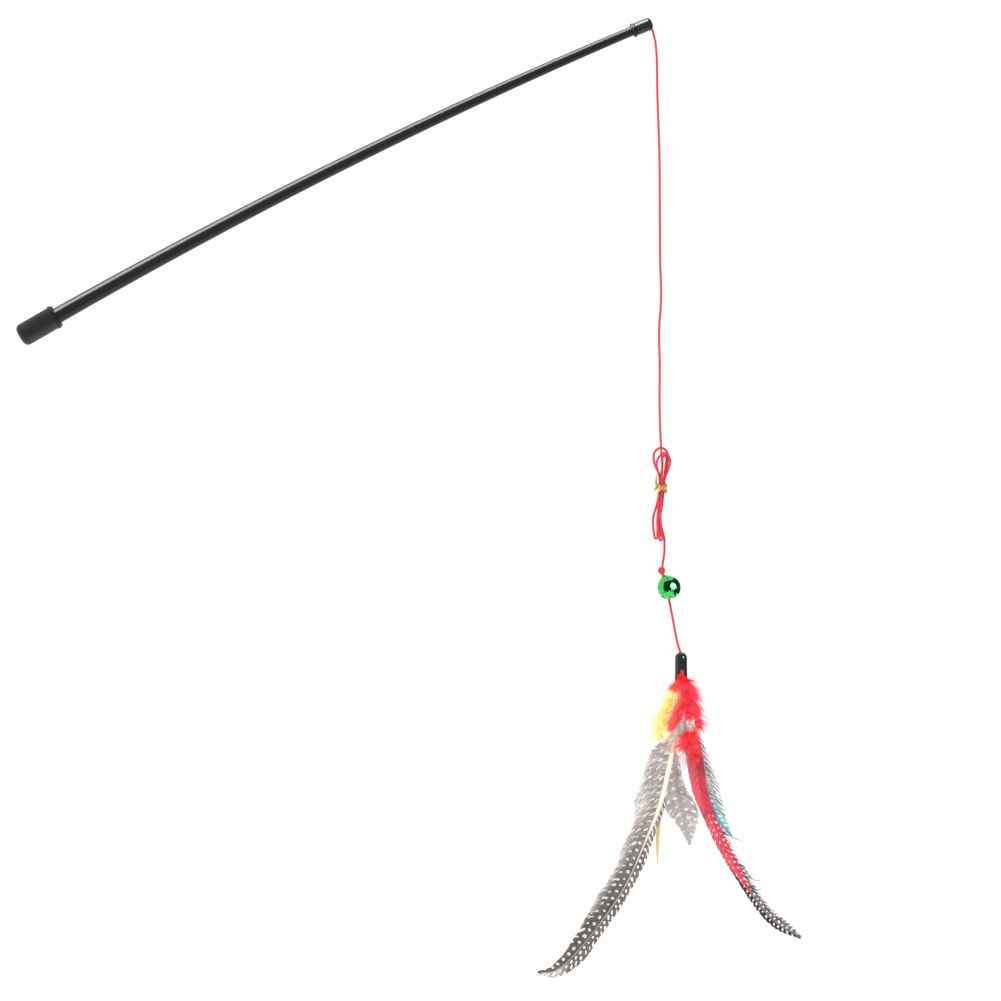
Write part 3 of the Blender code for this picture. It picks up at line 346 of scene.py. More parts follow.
gloss_finish = Finish("cap_black_gloss", IOR=1.42)
gloss_ripple = gloss_finish.noise(520, 2)
gloss_specks = gloss_finish.noise(7000, 3)
gloss_finish.link(
    Base_Color=gloss_finish.mix(gloss_specks.blend(0.5, 0.8, 0, 0.5), (0.02, 0.022, 0.024), (0.045, 0.047, 0.05)),
    Roughness=gloss_specks * 0.06 + 0.07)
gloss_finish.bump(gloss_ripple + gloss_specks * 0.05, 0.00004, 0.4)
settle(tip_cap, gloss_finish, "wand", "cap_gloss", "tip_cap")

# Ring: a black rubber ring against the cap's mouth, with two ridges and a groove. Its outline
# is spun round the rod's line.
RING_D, RING_WIDTH = 6.1, 1.5
ridge, ring_neck, ring_edge = RING_WIDTH / 4, RING_D / 2 - 0.45, 0.06
ring_outline = [(cap_bore, -ring_edge), (cap_bore + ring_edge, 0), (ring_neck, 0)]
ring_outline += arc(RING_D / 2 - ridge, -ridge, ridge, 75, -50, 8)
ring_outline += arc(RING_D / 2 - ridge, -3 * ridge, ridge, 50, -75, 8)
ring_outline += [(ring_neck, -RING_WIDTH), (cap_bore + ring_edge, -RING_WIDTH), (cap_bore, -RING_WIDTH + ring_edge)]
tip_ring = spun(
    "tip_ring_rubber", ring_outline, aimed(cap_end - tip_axis * (CAP_LENGTH + SEATED_GAP), tip_axis), closed=True)


def grained(name, scale, detail, dark, light, rough, bump=None, **constants):
    """A finish with one grain, which its colour and its roughness (how much, least) both follow."""
    finish = Finish(name, **constants)
    grain = finish.noise(scale, detail)
    finish.link(Base_Color=finish.mix(grain, dark, light), Roughness=grain * rough[0] + rough[1])
    if bump:
        finish.bump(grain, *bump)
    return finish


ring_finish = grained(
    "ring_black_rubber", 3200, 3, (0.008, 0.008, 0.01), (0.024, 0.023, 0.028), (0.2, 0.2), (0.0001, 0.3), IOR=1.4)
settle(tip_ring, ring_finish, "wand", "black_rubber", "tip_ring")

# Cord: 1 mm round elastic with a braided crimson cover. It leaves the cap's hole, hangs to a hank
# of spare cord, goes on to the knot over the bell and, from the knot, behind the bell to the lure.
CORD_D = 1.0
SWING_PIVOT = Vector((237.6, 0.0, 110.9))
SWAY_PIVOT = Vector((238.5, 0.0, 106.6))
LURE_PIVOT = Vector((241.45, 0.91, -119.68))
KNOT_CENTRE = Vector((240.93, 0.0, -117.3))
UPPER_ROUTE = [
    (239, 0, 99.5), (239.2, -0.2, 86), (239.7, -0.6, 71), (240.1, -1, 56),
    (240.2, -1.6, 35), (240.3, -2.2, 14), (240.6, -2.6, 5), (240.6, -2.7, -4),
    (239.8, -2.7, -16), (240.1, -2.7, -30), (240, -2.7, -45), (240.3, -2.7, -58),
]
MIDDLE_ROUTE = [(242.4, 2.3, -108), (242.1, 1.3, -111.4), (241.6, 0.4, -114.2), (241.3, 0.1, -116.2)]
LOWER_ROUTE = [
    (241.8, 2.15, -120.85), (242.1, 3.3, -121.9), (242.5, 4.15, -123.4), (242.9, 4.55, -125),
    (243.4, 4.6, -126.7), (244.4, 4.1, -130), (245.4, 3, -135.2), (246.6, 1.5, -142),
    (247.6, 0.5, -147.4), (248.2, 0.2, -149.8), (248.75, 0, -151.4), (249.05, 0, -152.5),
    (249.3, 0, -154.2),
]
HANK_X, HANK_WAIST_Z = 240.8, -82.4
HANK_IN, HANK_OUT = Vector((240.6, -2.7, -64.4)), Vector((242.4, 2.7, -105.0))
HANK_LEVEL = 0.75
HANK_PASS_X = [0.35, -0.5, 0.35, -0.5, 1.2, 0.35, 1.2]
HANK_FIRST = [(-0.1, -2.75, 16), (0.2, -2.8, 12), (0.3, -2.75, 8), (0.3, -2.5, 4)]
HANK_LAST = [
    (1, 2.3, -2.5), (0.65, 2.4, -6.8), (-0.25, 2.55, -12.6), (0.2, 2.65, -16), (0.95, 2.7, -19),
]
HANK_LOOPS = [
    [(0.25, -2.5), (-0.1, -6.8), (-0.35, -12.8), (0.15, -18), (0.4, -20.6), (0.42, -21.6), (0.24, -22.04),
     (-0.2, -22.22), (-0.64, -22.04), (-0.82, -21.6), (-0.84, -20.6), (-1.05, -18), (-1.5, -12.8),
     (-1.15, -6.8), (-0.75, -2.5)],
    [(-0.6, 3), (-1.15, 6.3), (-1.85, 9), (-1.85, 11.2), (-1.1, 13), (0.1, 14.3), (1.4, 14.8),
     (2.8, 14), (3.65, 12.3), (3.7, 10.4), (2.9, 7.6), (2, 5.4), (1, 2.6)],
    [(0.3, -2.5), (-0.3, -6.8), (-0.95, -9.5), (-1.6, -13), (-1.5, -17), (-1.5, -19.9), (-1.53, -20.9),
     (-1.71, -21.34), (-2.15, -21.52), (-2.59, -21.34), (-2.77, -20.9), (-2.95, -19.9), (-3.3, -17),
     (-3.45, -14), (-3.1, -11.4), (-1.9, -7.4), (-0.9, -2.8)],
    [(-0.45, 3), (0.1, 6.5), (0.6, 9), (0.65, 11.9), (0.65, 12.9), (0.91, 13.54), (1.55, 13.8),
     (2.19, 13.54), (2.45, 12.9), (2.4, 11.8), (2, 9.6), (1.65, 6.5), (1.4, 3)],
    [(1.05, -2.5), (0.55, -6.8), (-0.35, -12.8), (-0.3, -17), (-0.24, -19), (-0.23, -20),
     (-0.41, -20.44), (-0.85, -20.62), (-1.29, -20.44), (-1.47, -20), (-1.47, -19), (-1.45, -17),
     (-1.5, -12.8), (-0.65, -6.8), (0.1, -2.5)],
    [(0.15, 3), (-0.9, 6.3), (-2.1, 8.8), (-2.9, 11.2), (-3.05, 13.8), (-2.4, 15.6), (-1.1, 16.8),
     (0.3, 17.1), (1.7, 16.6), (2.8, 15.1), (3.15, 13.2), (2.8, 10.4), (2.3, 7.4), (1.7, 3.6)],
]


def run_along(points):
    """Distance along a line at each of its points."""
    return np.r_[0.0, np.cumsum(np.linalg.norm(np.diff(points, axis=0), axis=1))]


def unit(ways):
    """Directions of length 1."""
    return ways / np.linalg.norm(ways, axis=-1)[..., None]


def smooth_route(points, step):
    """Equal steps along a smooth curve through the given points."""
    knots = np.array([tuple(p) for p in points], float)
    ends = np.vstack([2 * knots[0] - knots[1], knots, 2 * knots[-1] - knots[-2]])
    fine = []
    for before, start, end, after in zip(ends[:-3], ends[1:-2], ends[2:-1], ends[3:]):
        for t in np.linspace(0.0, 1.0, 24, endpoint=False):
            bend = (2 * before - 5 * start + 4 * end - after) * t
            turn = (3 * start - before - 3 * end + after) * t * t
            fine.append(start + 0.5 * t * (end - before + bend + turn))
    fine = np.array([*fine, knots[-1]])
    along = run_along(fine)
    marks = np.linspace(0.0, along[-1], max(2, round(along[-1] / step) + 1))
    return np.column_stack([np.interp(marks, along, fine[:, axis]) for axis in range(3)])


def hank_spot(x, y, height):
    return Vector((HANK_X + x, y, HANK_WAIST_Z + height))


def hank_loop_spots():
    """Points of the hank's loops: each goes from one pass of the waist to the next, a level further back."""
    last = len(HANK_LOOPS)
    spots = []
    for n, loop in enumerate(HANK_LOOPS):
        level = HANK_LEVEL * (n - last / 2)
        heights = [abs(height) for _, height in loop]
        end = heights.index(max(heights))
        spots.append(hank_spot(HANK_PASS_X[n], level, 0.0))
        for k, (x, height) in enumerate(loop):
            rise = HANK_LEVEL / 2 * heights[k] / heights[end]
            spots.append(hank_spot(x, level + (rise if k <= end else HANK_LEVEL - rise), height))
    return spots + [hank_spot(HANK_PASS_X[last], HANK_LEVEL * last / 2, 0.0)]


def skin(rows, count, sides):
    """For each face between rings of points: its step along, its place round and its four corners."""
    i, j = (grid.ravel() for grid in np.meshgrid(np.arange(rows), np.arange(sides), indexing="ij"))
    following, above = (j + 1) % sides, (i + 1) % count
    corners = [i * sides + j, i * sides + following, above * sides + following, above * sides + j]
    return i, j, np.column_stack(corners)


def tube(name, path, radii, sides=14, closed=False):
    """A round skin over a line of points in millimetres, with a map of turns round and millimetres along it."""
    path = np.array(path, float)
    count = len(path)
    radii = np.broadcast_to(np.array(radii, float), count)
    if closed:
        tangents = np.roll(path, -1, axis=0) - np.roll(path, 1, axis=0)
    else:
        tangents = np.gradient(path, axis=0)
    tangents = unit(tangents)
    side = np.cross(tangents[0], (0.3, 0.9, 0.2))
    sides_along = []
    for tangent in tangents:
        side = side - tangent * side.dot(tangent)
        side /= np.linalg.norm(side)
        sides_along.append(side)
    across = np.array(sides_along)
    rise = np.cross(tangents, across)
    angles = np.linspace(0, math.tau, sides, endpoint=False)
    ring = np.cos(angles)[None, :, None] * across[:, None] + np.sin(angles)[None, :, None] * rise[:, None]
    places = (path[:, None] + ring * radii[:, None, None]).reshape(-1, 3) * MM
    i, j, quads = skin(count if closed else count - 1, count, sides)
    along = run_along(path)
    along = np.r_[along, along[-1] + np.linalg.norm(path[0] - path[-1])]
    faces = quads.tolist()
    spread = np.stack([np.stack([j, j + 1, j + 1, j], axis=1) / sides,
                       np.stack([along[i], along[i], along[i + 1], along[i + 1]], axis=1)], axis=2)
    spread = spread.reshape(-1, 2)
    if not closed:
        faces += [list(range(sides))[::-1], [(count - 1) * sides + k for k in range(sides)]]
        spread = np.vstack([spread, np.zeros((2 * sides, 2))])
    mesh = bpy.data.meshes.new(name)
    mesh.from_pydata(places.tolist(), [], faces)
    mesh.uv_layers.new(name="braid").uv.foreach_set("vector", spread.astype(np.float32).ravel())
    mesh.shade_smooth()
    return in_scene(name, mesh)


exit_end = SWING_PIVOT - (SWAY_PIVOT - SWING_PIVOT).normalized() * 0.8
exit_start = exit_corner + exit_axis * 0.45 - tip_axis * 0.2
top_middle = SWING_PIVOT.lerp(SWAY_PIVOT, 0.5)
exit_line = smooth_route(
    [exit_start, exit_corner + exit_axis, exit_point + exit_axis * 0.3, exit_end, SWING_PIVOT, top_middle], 0.25)
cord_exit = tube("cord_out_of_cap", exit_line, CORD_D / 2)

ahead = Vector((0, 0, CORD_D))
main_line = smooth_route(
    [top_middle, SWAY_PIVOT, *UPPER_ROUTE, HANK_IN + ahead, HANK_IN, HANK_IN - ahead,
     *(hank_spot(*spot) for spot in HANK_FIRST), *hank_loop_spots(), *(hank_spot(*spot) for spot in HANK_LAST),
     HANK_OUT + ahead, HANK_OUT, HANK_OUT - ahead, *MIDDLE_ROUTE], 0.36)
main_cord = tube("cord_main_run", main_line, CORD_D / 2)
lower_line = smooth_route([KNOT_CENTRE, LURE_PIVOT, *LOWER_ROUTE], 0.4)
lower_cord = tube("cord_lower_run", lower_line, CORD_D / 2)

BRAID_STRANDS, BRAID_PITCH = 5, 1.3
cord_finish = Finish("cord_red_braid", Sheen_Weight=0.35, Sheen_Roughness=0.4, IOR=1.4)
turns, run = cord_finish.map("braid")
left_strand = (turns * (BRAID_STRANDS * math.tau) + run * (math.tau / BRAID_PITCH)).math("SINE")
right_strand = (turns * (BRAID_STRANDS * math.tau) - run * (math.tau / BRAID_PITCH)).math("SINE")
braid = left_strand.math("MAXIMUM", right_strand)
cord_shade = cord_finish.noise(700, 3)
# Painted shade: the cord's red is darker in the grooves between the braid's strands, where the bump sinks, and lighter
# on their crests.
braid_groove_shaded = cord_finish.mix(braid.blend(-0.6, 0.9), (0.46, 0.012, 0.026), (0.86, 0.035, 0.07))
cord_finish.link(
    Base_Color=cord_finish.tint(braid_groove_shaded, cord_shade * 0.4 + 0.8),
    Roughness=cord_shade * 0.3 + 0.4)
cord_finish.bump(braid, 0.00006, 0.8)
for piece, bodies, pivot, bend_reach, nodes in (
        (cord_exit, ("wand", "cord_top_body"), SWING_PIVOT, 0.6, ("cord_exit", "cord_top")),
        (main_cord, ("cord_top_body", "line"), SWAY_PIVOT, 0.8, ("cord_upper", "cord_hank", "cord_middle")),
        (lower_cord, ("line", "lure_drop"), LURE_PIVOT, 0.6, ("cord_lower",))):
    piece.data.materials.append(cord_finish.material)
    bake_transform(piece)
    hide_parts(*nodes)

# Knot over the bell: the cord is tied to itself here and leaves a small loop for the bell. Its turns
# are wound into a tight ball round a heart, the loop is a ring of thinner cord in front, and the two
# knots that stop the cord inside the caps are tight trefoils.
BELL_LEAN, BELL_HANG, LOOP_R = math.radians(23), 2.35, 0.75
bell_up = Vector((-math.sin(BELL_LEAN), 0.0, math.cos(BELL_LEAN)))
bell_side = Vector((math.cos(BELL_LEAN), 0.0, math.sin(BELL_LEAN)))
bell_pivot = KNOT_CENTRE - bell_up * BELL_HANG
bell_pivot.y = -2.0


def trefoil(centre, along, reach, height, count=72):
    """Closed line of a tight overhand knot, seen end on along its cord."""
    place = aimed((0, 0, 0), along).to_3x3()
    points = []
    for t in np.linspace(0, math.tau, count, endpoint=False):
        spot = Vector((math.sin(t) + 2 * math.sin(2 * t), math.cos(t) - 2 * math.cos(2 * t), 0)) * reach / 3
        spot.z = -math.sin(3 * t) * height
        points.append(Vector(centre) + place @ spot)
    return points


def joined(name, pieces):
    """Makes one piece of several."""
    activate(pieces[0])
    for piece in pieces:
        piece.select_set(True)
    bpy.ops.object.join()
    whole = bpy.context.object
    whole.name = whole.data.name = name
    return whole


def ball_of_turns(centre, reach, turns, crossings, count=120):
    """Closed line of a cord that is wound into a ball and passes over and under itself."""
    points = []
    for t in np.linspace(0, math.tau, count, endpoint=False):
        rise = math.radians(58) * math.sin(crossings * t)
        out = reach * (1 + 0.16 * math.cos(turns * crossings * t))
        across = out * math.cos(rise)
        points.append(Vector(centre) + Vector(
            (across * math.cos(turns * t), across * math.sin(turns * t), out * math.sin(rise))))
    return points


loop_angles = np.linspace(0, math.tau, 30, endpoint=False)
hang_loop = [
    bell_pivot + bell_up * (LOOP_R - LOOP_R * math.cos(a)) + Vector((0, LOOP_R * math.sin(a), 0)) for a in loop_angles]
knot_middle = KNOT_CENTRE + Vector((0.1, 0.1, -0.15))
bell_knot = joined("knot_over_bell", [
    tube("knot_turns", ball_of_turns(knot_middle, 1.0, 3, 2), 0.5, closed=True),
    tube("knot_loop", hang_loop, 0.32, 12, closed=True),
    tube("knot_heart", [knot_middle + Vector((0, 0, z)) for z in (-1.1, -0.9, -0.5, 0, 0.5, 0.9, 1.1)],
         [0.2, 0.62, 1.0, 1.12, 1.0, 0.62, 0.2])])
settle(bell_knot, cord_finish, "line", "red_cord", "bell_knot")
for node, body in (("tip_stop_knot", "wand"), ("lure_stop_knot", "lure_drop")):
    middle = sum(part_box(node), Vector()) / 2 / MM
    hidden_knot = tube(node + "_turns", trefoil(middle, (0.2, 0.1, 1.0), 0.8, 0.42), 0.42, closed=True)
    settle(hidden_knot, cord_finish, body, "red_cord", node)

# Twist tie: a strip of gold foil over a wire, wound round the hank's waist and twisted on itself.
# The strip is swept flat along its path, given its thickness, and crinkled a little.
TIE_HALF, TIE_LENGTH, TIE_CROSS = 1.85, 1.7, 1.35
BAND_POINTS, FOIL_THICKNESS = 121, 0.1
tie_centre = Vector((241.15, 0.0, HANK_WAIST_Z))


def strip(name, path, flat_ways, widths):
    """A flat strip of foil along a line; flat_ways give the way across it at each point."""
    rows = [Vector(spot) + way * width * share for spot, way, width in zip(path, flat_ways, widths)
            for share in (-1 / 2, -1 / 6, 1 / 6, 1 / 2)]
    faces = [(4 * i + k, 4 * i + k + 1, 4 * i + k + 5, 4 * i + k + 4) for i in range(len(path) - 1) for k in range(3)]
    mesh = bpy.data.meshes.new(name)
    mesh.from_pydata([v * MM for v in rows], [], faces)
    piece = in_scene(name, mesh)
    activate(piece)
    wall = piece.modifiers.new("wall", "SOLIDIFY")
    wall.thickness = FOIL_THICKNESS * MM
    wall.offset = 0.0
    soft = piece.modifiers.new("soft", "SUBSURF")
    soft.levels = soft.render_levels = 1
    for modifier in ("wall", "soft"):
        bpy.ops.object.modifier_apply(modifier=modifier)
    mesh.shade_smooth()
    return piece


crinkle = np.random.default_rng(3)
band_path, band_ways = [], []
for angle in np.linspace(0, 2.0 * math.tau, BAND_POINTS):
    out = TIE_HALF + 0.1 + 0.1 * angle / math.tau + crinkle.normal(0, 0.04)
    in_front = math.sin(angle) < 0
    side = math.cos(angle) if in_front else -1
    lift = TIE_CROSS * side if angle < math.tau else -TIE_CROSS * side
    straight = math.copysign(TIE_LENGTH - 0.3, math.sin(angle + 1e-4))
    band_path.append(tie_centre + Vector((out * math.cos(angle), out * math.sin(angle) + straight, lift)))
    band_ways.append(Vector((0.15 * math.sin(5 * angle), 0.12 * math.cos(3 * angle), 1.0)).normalized())
band_widths = [1.5 + 0.2 * math.sin(k * 0.55) for k in range(BAND_POINTS)]
band = strip("tie_band", band_path, band_ways, band_widths)
tail_root = tie_centre + Vector((-2.1, -2.3, 0.5))


def twisted_strip(name, knots, turns, width):
    """A strip that leaves the tie's crossing and twists; its knots are measured from the crossing."""
    line = smooth_route([tail_root + Vector(knot) for knot in knots], 0.12)
    ways = []
    for index, spot in enumerate(line):
        ahead = Vector(line[min(index + 1, len(line) - 1)]) - Vector(line[max(index - 1, 0)])
        side = ahead.cross(Vector((0, 1, 0.2))).normalized()
        turn = Matrix.Rotation(turns * math.tau * index / len(line), 3, ahead.normalized())
        ways.append(turn @ side)
    return strip(name, line, ways, [width] * len(line))


tie = joined("twist_tie_gold", [
    band,
    twisted_strip("tie_twist", [(1.7, 0.1, -0.4), (0, 0, 0), (-0.3, -0.5, 0.6)], 0.8, 1.4),
    twisted_strip("tie_tail_up", [(-0.1, 0, 0), (-0.45, -0.5, 1.6), (-0.5, -0.8, 3.4), (-0.1, -1.1, 5.4)], 0.22, 1.0),
    twisted_strip("tie_tail_down", [(0, 0, 0), (-0.6, -0.4, -0.7), (-1.7, -0.4, -1.9)], 0.2, 1.2)])

foil_finish = Finish("gold_foil", IOR=1.5)
foil_crinkle = foil_finish.add(
    "TexVoronoi", {"feature": "DISTANCE_TO_EDGE"}, {"Vector": foil_finish.place, "Scale": 1500.0})
foil_fine = foil_finish.noise(5200, 3)
foil_finish.link(
    Base_Color=foil_finish.mix(foil_fine.blend(0.35, 0.65), (0.8, 0.4, 0.05), (0.99, 0.84, 0.3)),
    Metallic=foil_crinkle.blend(0.0, 0.12, 0.3, 0.75),
    Roughness=foil_fine * 0.25 + 0.16)
foil_finish.bump(foil_crinkle + foil_fine * 0.3, 0.00016, 0.8)
settle(tie, foil_finish, "line", "gold_foil", "hank_tie")

# Bell: two pressed halves in bright green metal, crimped together at a bead. The outline of each
# half is spun, then two crossed slots with round ends are cut in the lower one.
BELL_R, BELL_WALL, SEAM_DEG, PIVOT_HEIGHT = 5.0, 0.4, -12.0, 5.65
bell_centre = bell_pivot - bell_up * PIVOT_HEIGHT
bell_place = aimed(bell_centre, bell_up)


def bead_points(sign):
    """Outline of half of the crimped bead: steps out from the shell in (extra radius, degrees)."""
    steps = ((0.02, 3.6), (0.1, 2.9), (0.14, 2.1), (0.14, 1.4), (0.09, 0.7))
    turns = [(BELL_R + out, math.radians(SEAM_DEG + sign * deg)) for out, deg in steps]
    return [(r * math.cos(turn), r * math.sin(turn)) for r, turn in turns]


top_outline = [(r, z + 0.6 * math.exp(-(r / 1.9) ** 2)) for r, z in arc(0, 0, BELL_R, 90, SEAM_DEG + 4.4, 28)]
top_outline += bead_points(1) + arc(0, 0, BELL_R - BELL_WALL, SEAM_DEG + 1, 90, 20)
top_outline[0], top_outline[-1] = (0.0, BELL_R + 0.6), (0.0, BELL_R - BELL_WALL)
top_half = spun("bell_upper_half", top_outline, bell_place, 96)
low_outline = arc(0, 0, BELL_R, -90, SEAM_DEG - 4.4, 26) + bead_points(-1)
low_outline += arc(0, 0, BELL_R - BELL_WALL, SEAM_DEG - 1, -90, 20)
low_outline[0], low_outline[-1] = (0.0, -BELL_R), (0.0, BELL_WALL - BELL_R)
bottom_half = spun("bell_lower_half", list(reversed(low_outline)), bell_place, 96)

EYE_HALF, SLOT_ARM, SLOT_TURN, SLOT_WIDTH = 1.1, math.radians(58), 20, 0.75
for sign in (-1, 1):
    drill(top_half, bell_centre + bell_side * (EYE_HALF * sign) + bell_up * 5.0, bell_up, 0.42, 2.6, 20)
slot_reach = BELL_R * math.sin(SLOT_ARM)
for index in range(2):
    turn = Matrix.Rotation(math.radians(SLOT_TURN + 90 * index), 4, "Z")
    bpy.ops.mesh.primitive_cube_add(size=MM)
    slot_cutter = bpy.context.object
    slot_cutter.data.transform(Matrix.Diagonal((2 * slot_reach, SLOT_WIDTH, 4.4, 1.0)))
    slot_cutter.data.transform(bell_place @ turn @ Matrix.Translation((0, 0, -4.7 * MM)))
    cut(bottom_half, slot_cutter)
    for end in (-1, 1):
        lean = SLOT_ARM * end
        way = bell_place.to_3x3() @ turn.to_3x3() @ Vector((math.sin(lean), 0, -math.cos(lean)))
        drill(bottom_half, bell_centre + way * BELL_R, way, 0.9, 2.0)
for half in (top_half, bottom_half):
    activate(half)
    bpy.ops.object.shade_smooth_by_angle(angle=math.radians(40))

green_finish = Finish("bell_green_metal", Coat_Weight=0.35, Coat_Roughness=0.03, IOR=1.5, Metallic=1.0)
green_ripple = green_finish.noise(160, 1)
green_specks = green_finish.noise(9000, 2)
green_finish.link(
    Base_Color=green_finish.mix(green_ripple, (0.03, 0.48, 0.085), (0.065, 0.63, 0.145)),
    Roughness=green_specks * 0.07 + 0.035)
green_finish.bump(green_ripple, 0.00025, 0.3)
settle(top_half, green_finish, "bell", "green_metal", "bell_top_shell")
settle(bottom_half, green_finish, "bell", "green_metal", "bell_bottom_shell")

# Bell's eye and pellet: a bent wire goes through two holes in the upper half and hooks inside, and
# a loose steel ball rattles in the lower one.
EYE_R, WIRE_R = 0.75, 0.22
bail_half = [(1.65, 3.75), (1.25, 3.85), (EYE_HALF, 4.2), (EYE_HALF, 4.95)]
bail_line = bail_half + arc(0, PIVOT_HEIGHT, EYE_R, -8, 188, 13) + [(-side, up) for side, up in reversed(bail_half)]
bail_points = [bell_centre + bell_side * side + bell_up * up for side, up in bail_line]
bail = tube("bell_eye_wire", smooth_route(bail_points, 0.18), WIRE_R, 14)
wire_finish = Finish("bell_eye_green_wire", IOR=1.5)
wire_wear = wire_finish.noise(2400, 3)
wire_finish.link(
    Base_Color=wire_finish.mix(wire_wear.blend(0.4, 0.7), (0.12, 0.4, 0.14), (0.6, 0.66, 0.36)),
    Metallic=wire_wear * 0.2 + 0.8,
    Roughness=wire_wear * 0.3 + 0.12)
settle(bail, wire_finish, "bell", "green_metal", "bell_bail")


def refinish(node, finish):
    """Gives a solid that is shown as it is another finish."""
    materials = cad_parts[node].data.materials
    materials.clear()
    materials.append(finish.material)


refinish("bell_pellet", grained(
    "pellet_steel", 3000, 4, (0.35, 0.35, 0.36), (0.6, 0.6, 0.61), (0.4, 0.15), Metallic=1.0))

# Lure's cap: a glossy black domed cap with a hole in its top for the cord. Its outline is spun.
# The set glue that holds the quills inside it keeps its solid, with a cloudy amber finish.
LURE_X, LURE_TOP_Z, LURE_MOUTH_Z = 249.3, -152.2, -164.9
DOME_R, CAP_MOUTH_R, CAP_WALL, CAP_HOLE_R, CAP_LIP = 2.55, 2.7, 0.6, 0.875, 0.16
mouth = Vector((LURE_X, 0.0, LURE_MOUTH_Z))
dome_z = LURE_TOP_Z - LURE_MOUTH_Z - DOME_R
dome_inner, mouth_inner = DOME_R - CAP_WALL, CAP_MOUTH_R - CAP_WALL
lure_outline = arc(0, dome_z, DOME_R, math.degrees(math.acos((CAP_HOLE_R + 0.12) / DOME_R)), 0, 20)
lure_outline += [(DOME_R + 0.04, dome_z * 0.6), (DOME_R + 0.11, dome_z * 0.25), (CAP_MOUTH_R, 0.45)]
lure_outline += arc(CAP_MOUTH_R - CAP_LIP, CAP_LIP, CAP_LIP, 0, -90, 5)
lure_outline += [(mouth_inner, 0.0), (mouth_inner, 1.0)]
lure_outline += arc(0, dome_z, dome_inner, 0, math.degrees(math.acos(CAP_HOLE_R / dome_inner)), 12)
lure_outline += [(CAP_HOLE_R, dome_z + 2.25)]
lure_cap = spun("lure_cap_gloss", lure_outline, Matrix.Translation(mouth * MM), closed=True)
settle(lure_cap, gloss_finish, "lure", "cap_gloss", "lure_cap")
refinish("lure_plug", grained(
    "set_glue", 900, 3, (0.5, 0.42, 0.26), (0.8, 0.74, 0.58), (0.3, 0.2), IOR=1.5, Coat_Weight=0.4))

# Long spotted feather at the left: brown-grey barbs on both sides of a cream quill, the left vane
# wide and the right one narrow. Every barb is a thin strip that bends towards the feather's tip.
QUILL_RING, QUILL_TOP = 1.4, 1.3
MAP_MIDDLE, MAP_REACH = 0.475, 0.46
BARBS_SETTLE = 16.0


def strands(lines, ways, widths, thickness, map_u, map_v):
    """Closed three-sided strips, one for each line of points: places, faces and map of each corner."""
    lines, ways = np.asarray(lines), np.asarray(ways)
    many, count = lines.shape[:2]
    along = np.gradient(lines, axis=1)
    along /= np.linalg.norm(along, axis=2)[..., None] + 1e-12
    rise = np.cross(along, ways)
    half = np.broadcast_to(widths, (many, count))[..., None] / 2
    top = lines + rise * np.broadcast_to(thickness, (many, count))[..., None]
    places = np.stack([lines - ways * half, lines + ways * half, top], axis=2).reshape(-1, 3)
    base = (np.arange(many) * count * 3)[:, None, None]
    step = (np.arange(count - 1) * 3)[None, :, None]
    corners = [
        np.stack([base + step + low, base + step + high, base + step + high + 3, base + step + low + 3], axis=3)
        for low, high in ((0, 1), (1, 2), (2, 0))]
    quads = np.stack(corners, axis=2).reshape(-1, 4)
    ends = np.arange(many) * count * 3
    caps = np.vstack([np.column_stack([ends + 2, ends + 1, ends]),
                      np.column_stack([ends, ends + 1, ends + 2]) + (count - 1) * 3])
    maps = np.stack([map_u, map_v], axis=-1).reshape(-1, 2)
    return places, quads, caps, maps


def strand_mesh(name, parts):
    """One mesh of several sets of strands, each set with its own material slot, and their map."""
    places, faces, maps, slots = [], [], [], []
    start = 0
    for slot_index, (some_places, quads, caps, some_maps) in parts:
        places.append(some_places)
        maps += [some_maps[quads].reshape(-1, 2), some_maps[caps].reshape(-1, 2)]
        faces += (quads + start).tolist() + (caps + start).tolist()
        slots.append(np.full(len(quads) + len(caps), slot_index))
        start += len(some_places)
    mesh = bpy.data.meshes.new(name)
    mesh.from_pydata((np.vstack(places) * MM).tolist(), [], faces)
    mesh.uv_layers.new(name="OFBake").uv.foreach_set("vector", np.vstack(maps).astype(np.float32).ravel())
    mesh.polygons.foreach_set("material_index", np.concatenate(slots).astype(np.int32))
    mesh.shade_smooth()
    mesh.update()
    return in_scene(name, mesh)


class Shaft:
    """A feather's shaft: points by distance along it, with the ways across it and towards its face.
    Its barbs reach out to either side, no further than reach says."""

    def __init__(self, slot_deg, knots, reach=1.0):
        turn = math.radians(slot_deg)
        root = Vector((math.cos(turn) * QUILL_RING, math.sin(turn) * QUILL_RING, 0))
        knots = [root + Vector((0, 0, QUILL_TOP)), root - Vector((0, 0, 1.5)), *(Vector(k) for k in knots)]
        self.points = smooth_route([mouth + k for k in knots], 0.25)
        self.along = run_along(self.points)
        self.length = self.along[-1]
        self.reach = reach
        self.tangents = unit(np.gradient(self.points, axis=0))
        across = unit(np.cross((0, 1, 0), self.tangents))
        self.across = across * np.sign(across[:, :1])
        face = np.cross(self.tangents, self.across)
        self.face = -face * np.sign(face[:, 1:2])

    def read(self, table, marks):
        marks = np.clip(marks, 0, self.length)
        return np.stack([np.interp(marks, self.along, table[:, axis]) for axis in range(3)], axis=-1)

    def place(self, marks, out, lift):
        """Point at a distance along the shaft, so far out to the right and so far towards the face."""
        beyond = np.maximum(marks - self.length, 0)[..., None]
        spot = self.read(self.points, marks) + beyond * self.read(self.tangents, marks)
        return spot + self.read(self.across, marks) * out[..., None] + self.read(self.face, marks) * lift[..., None]


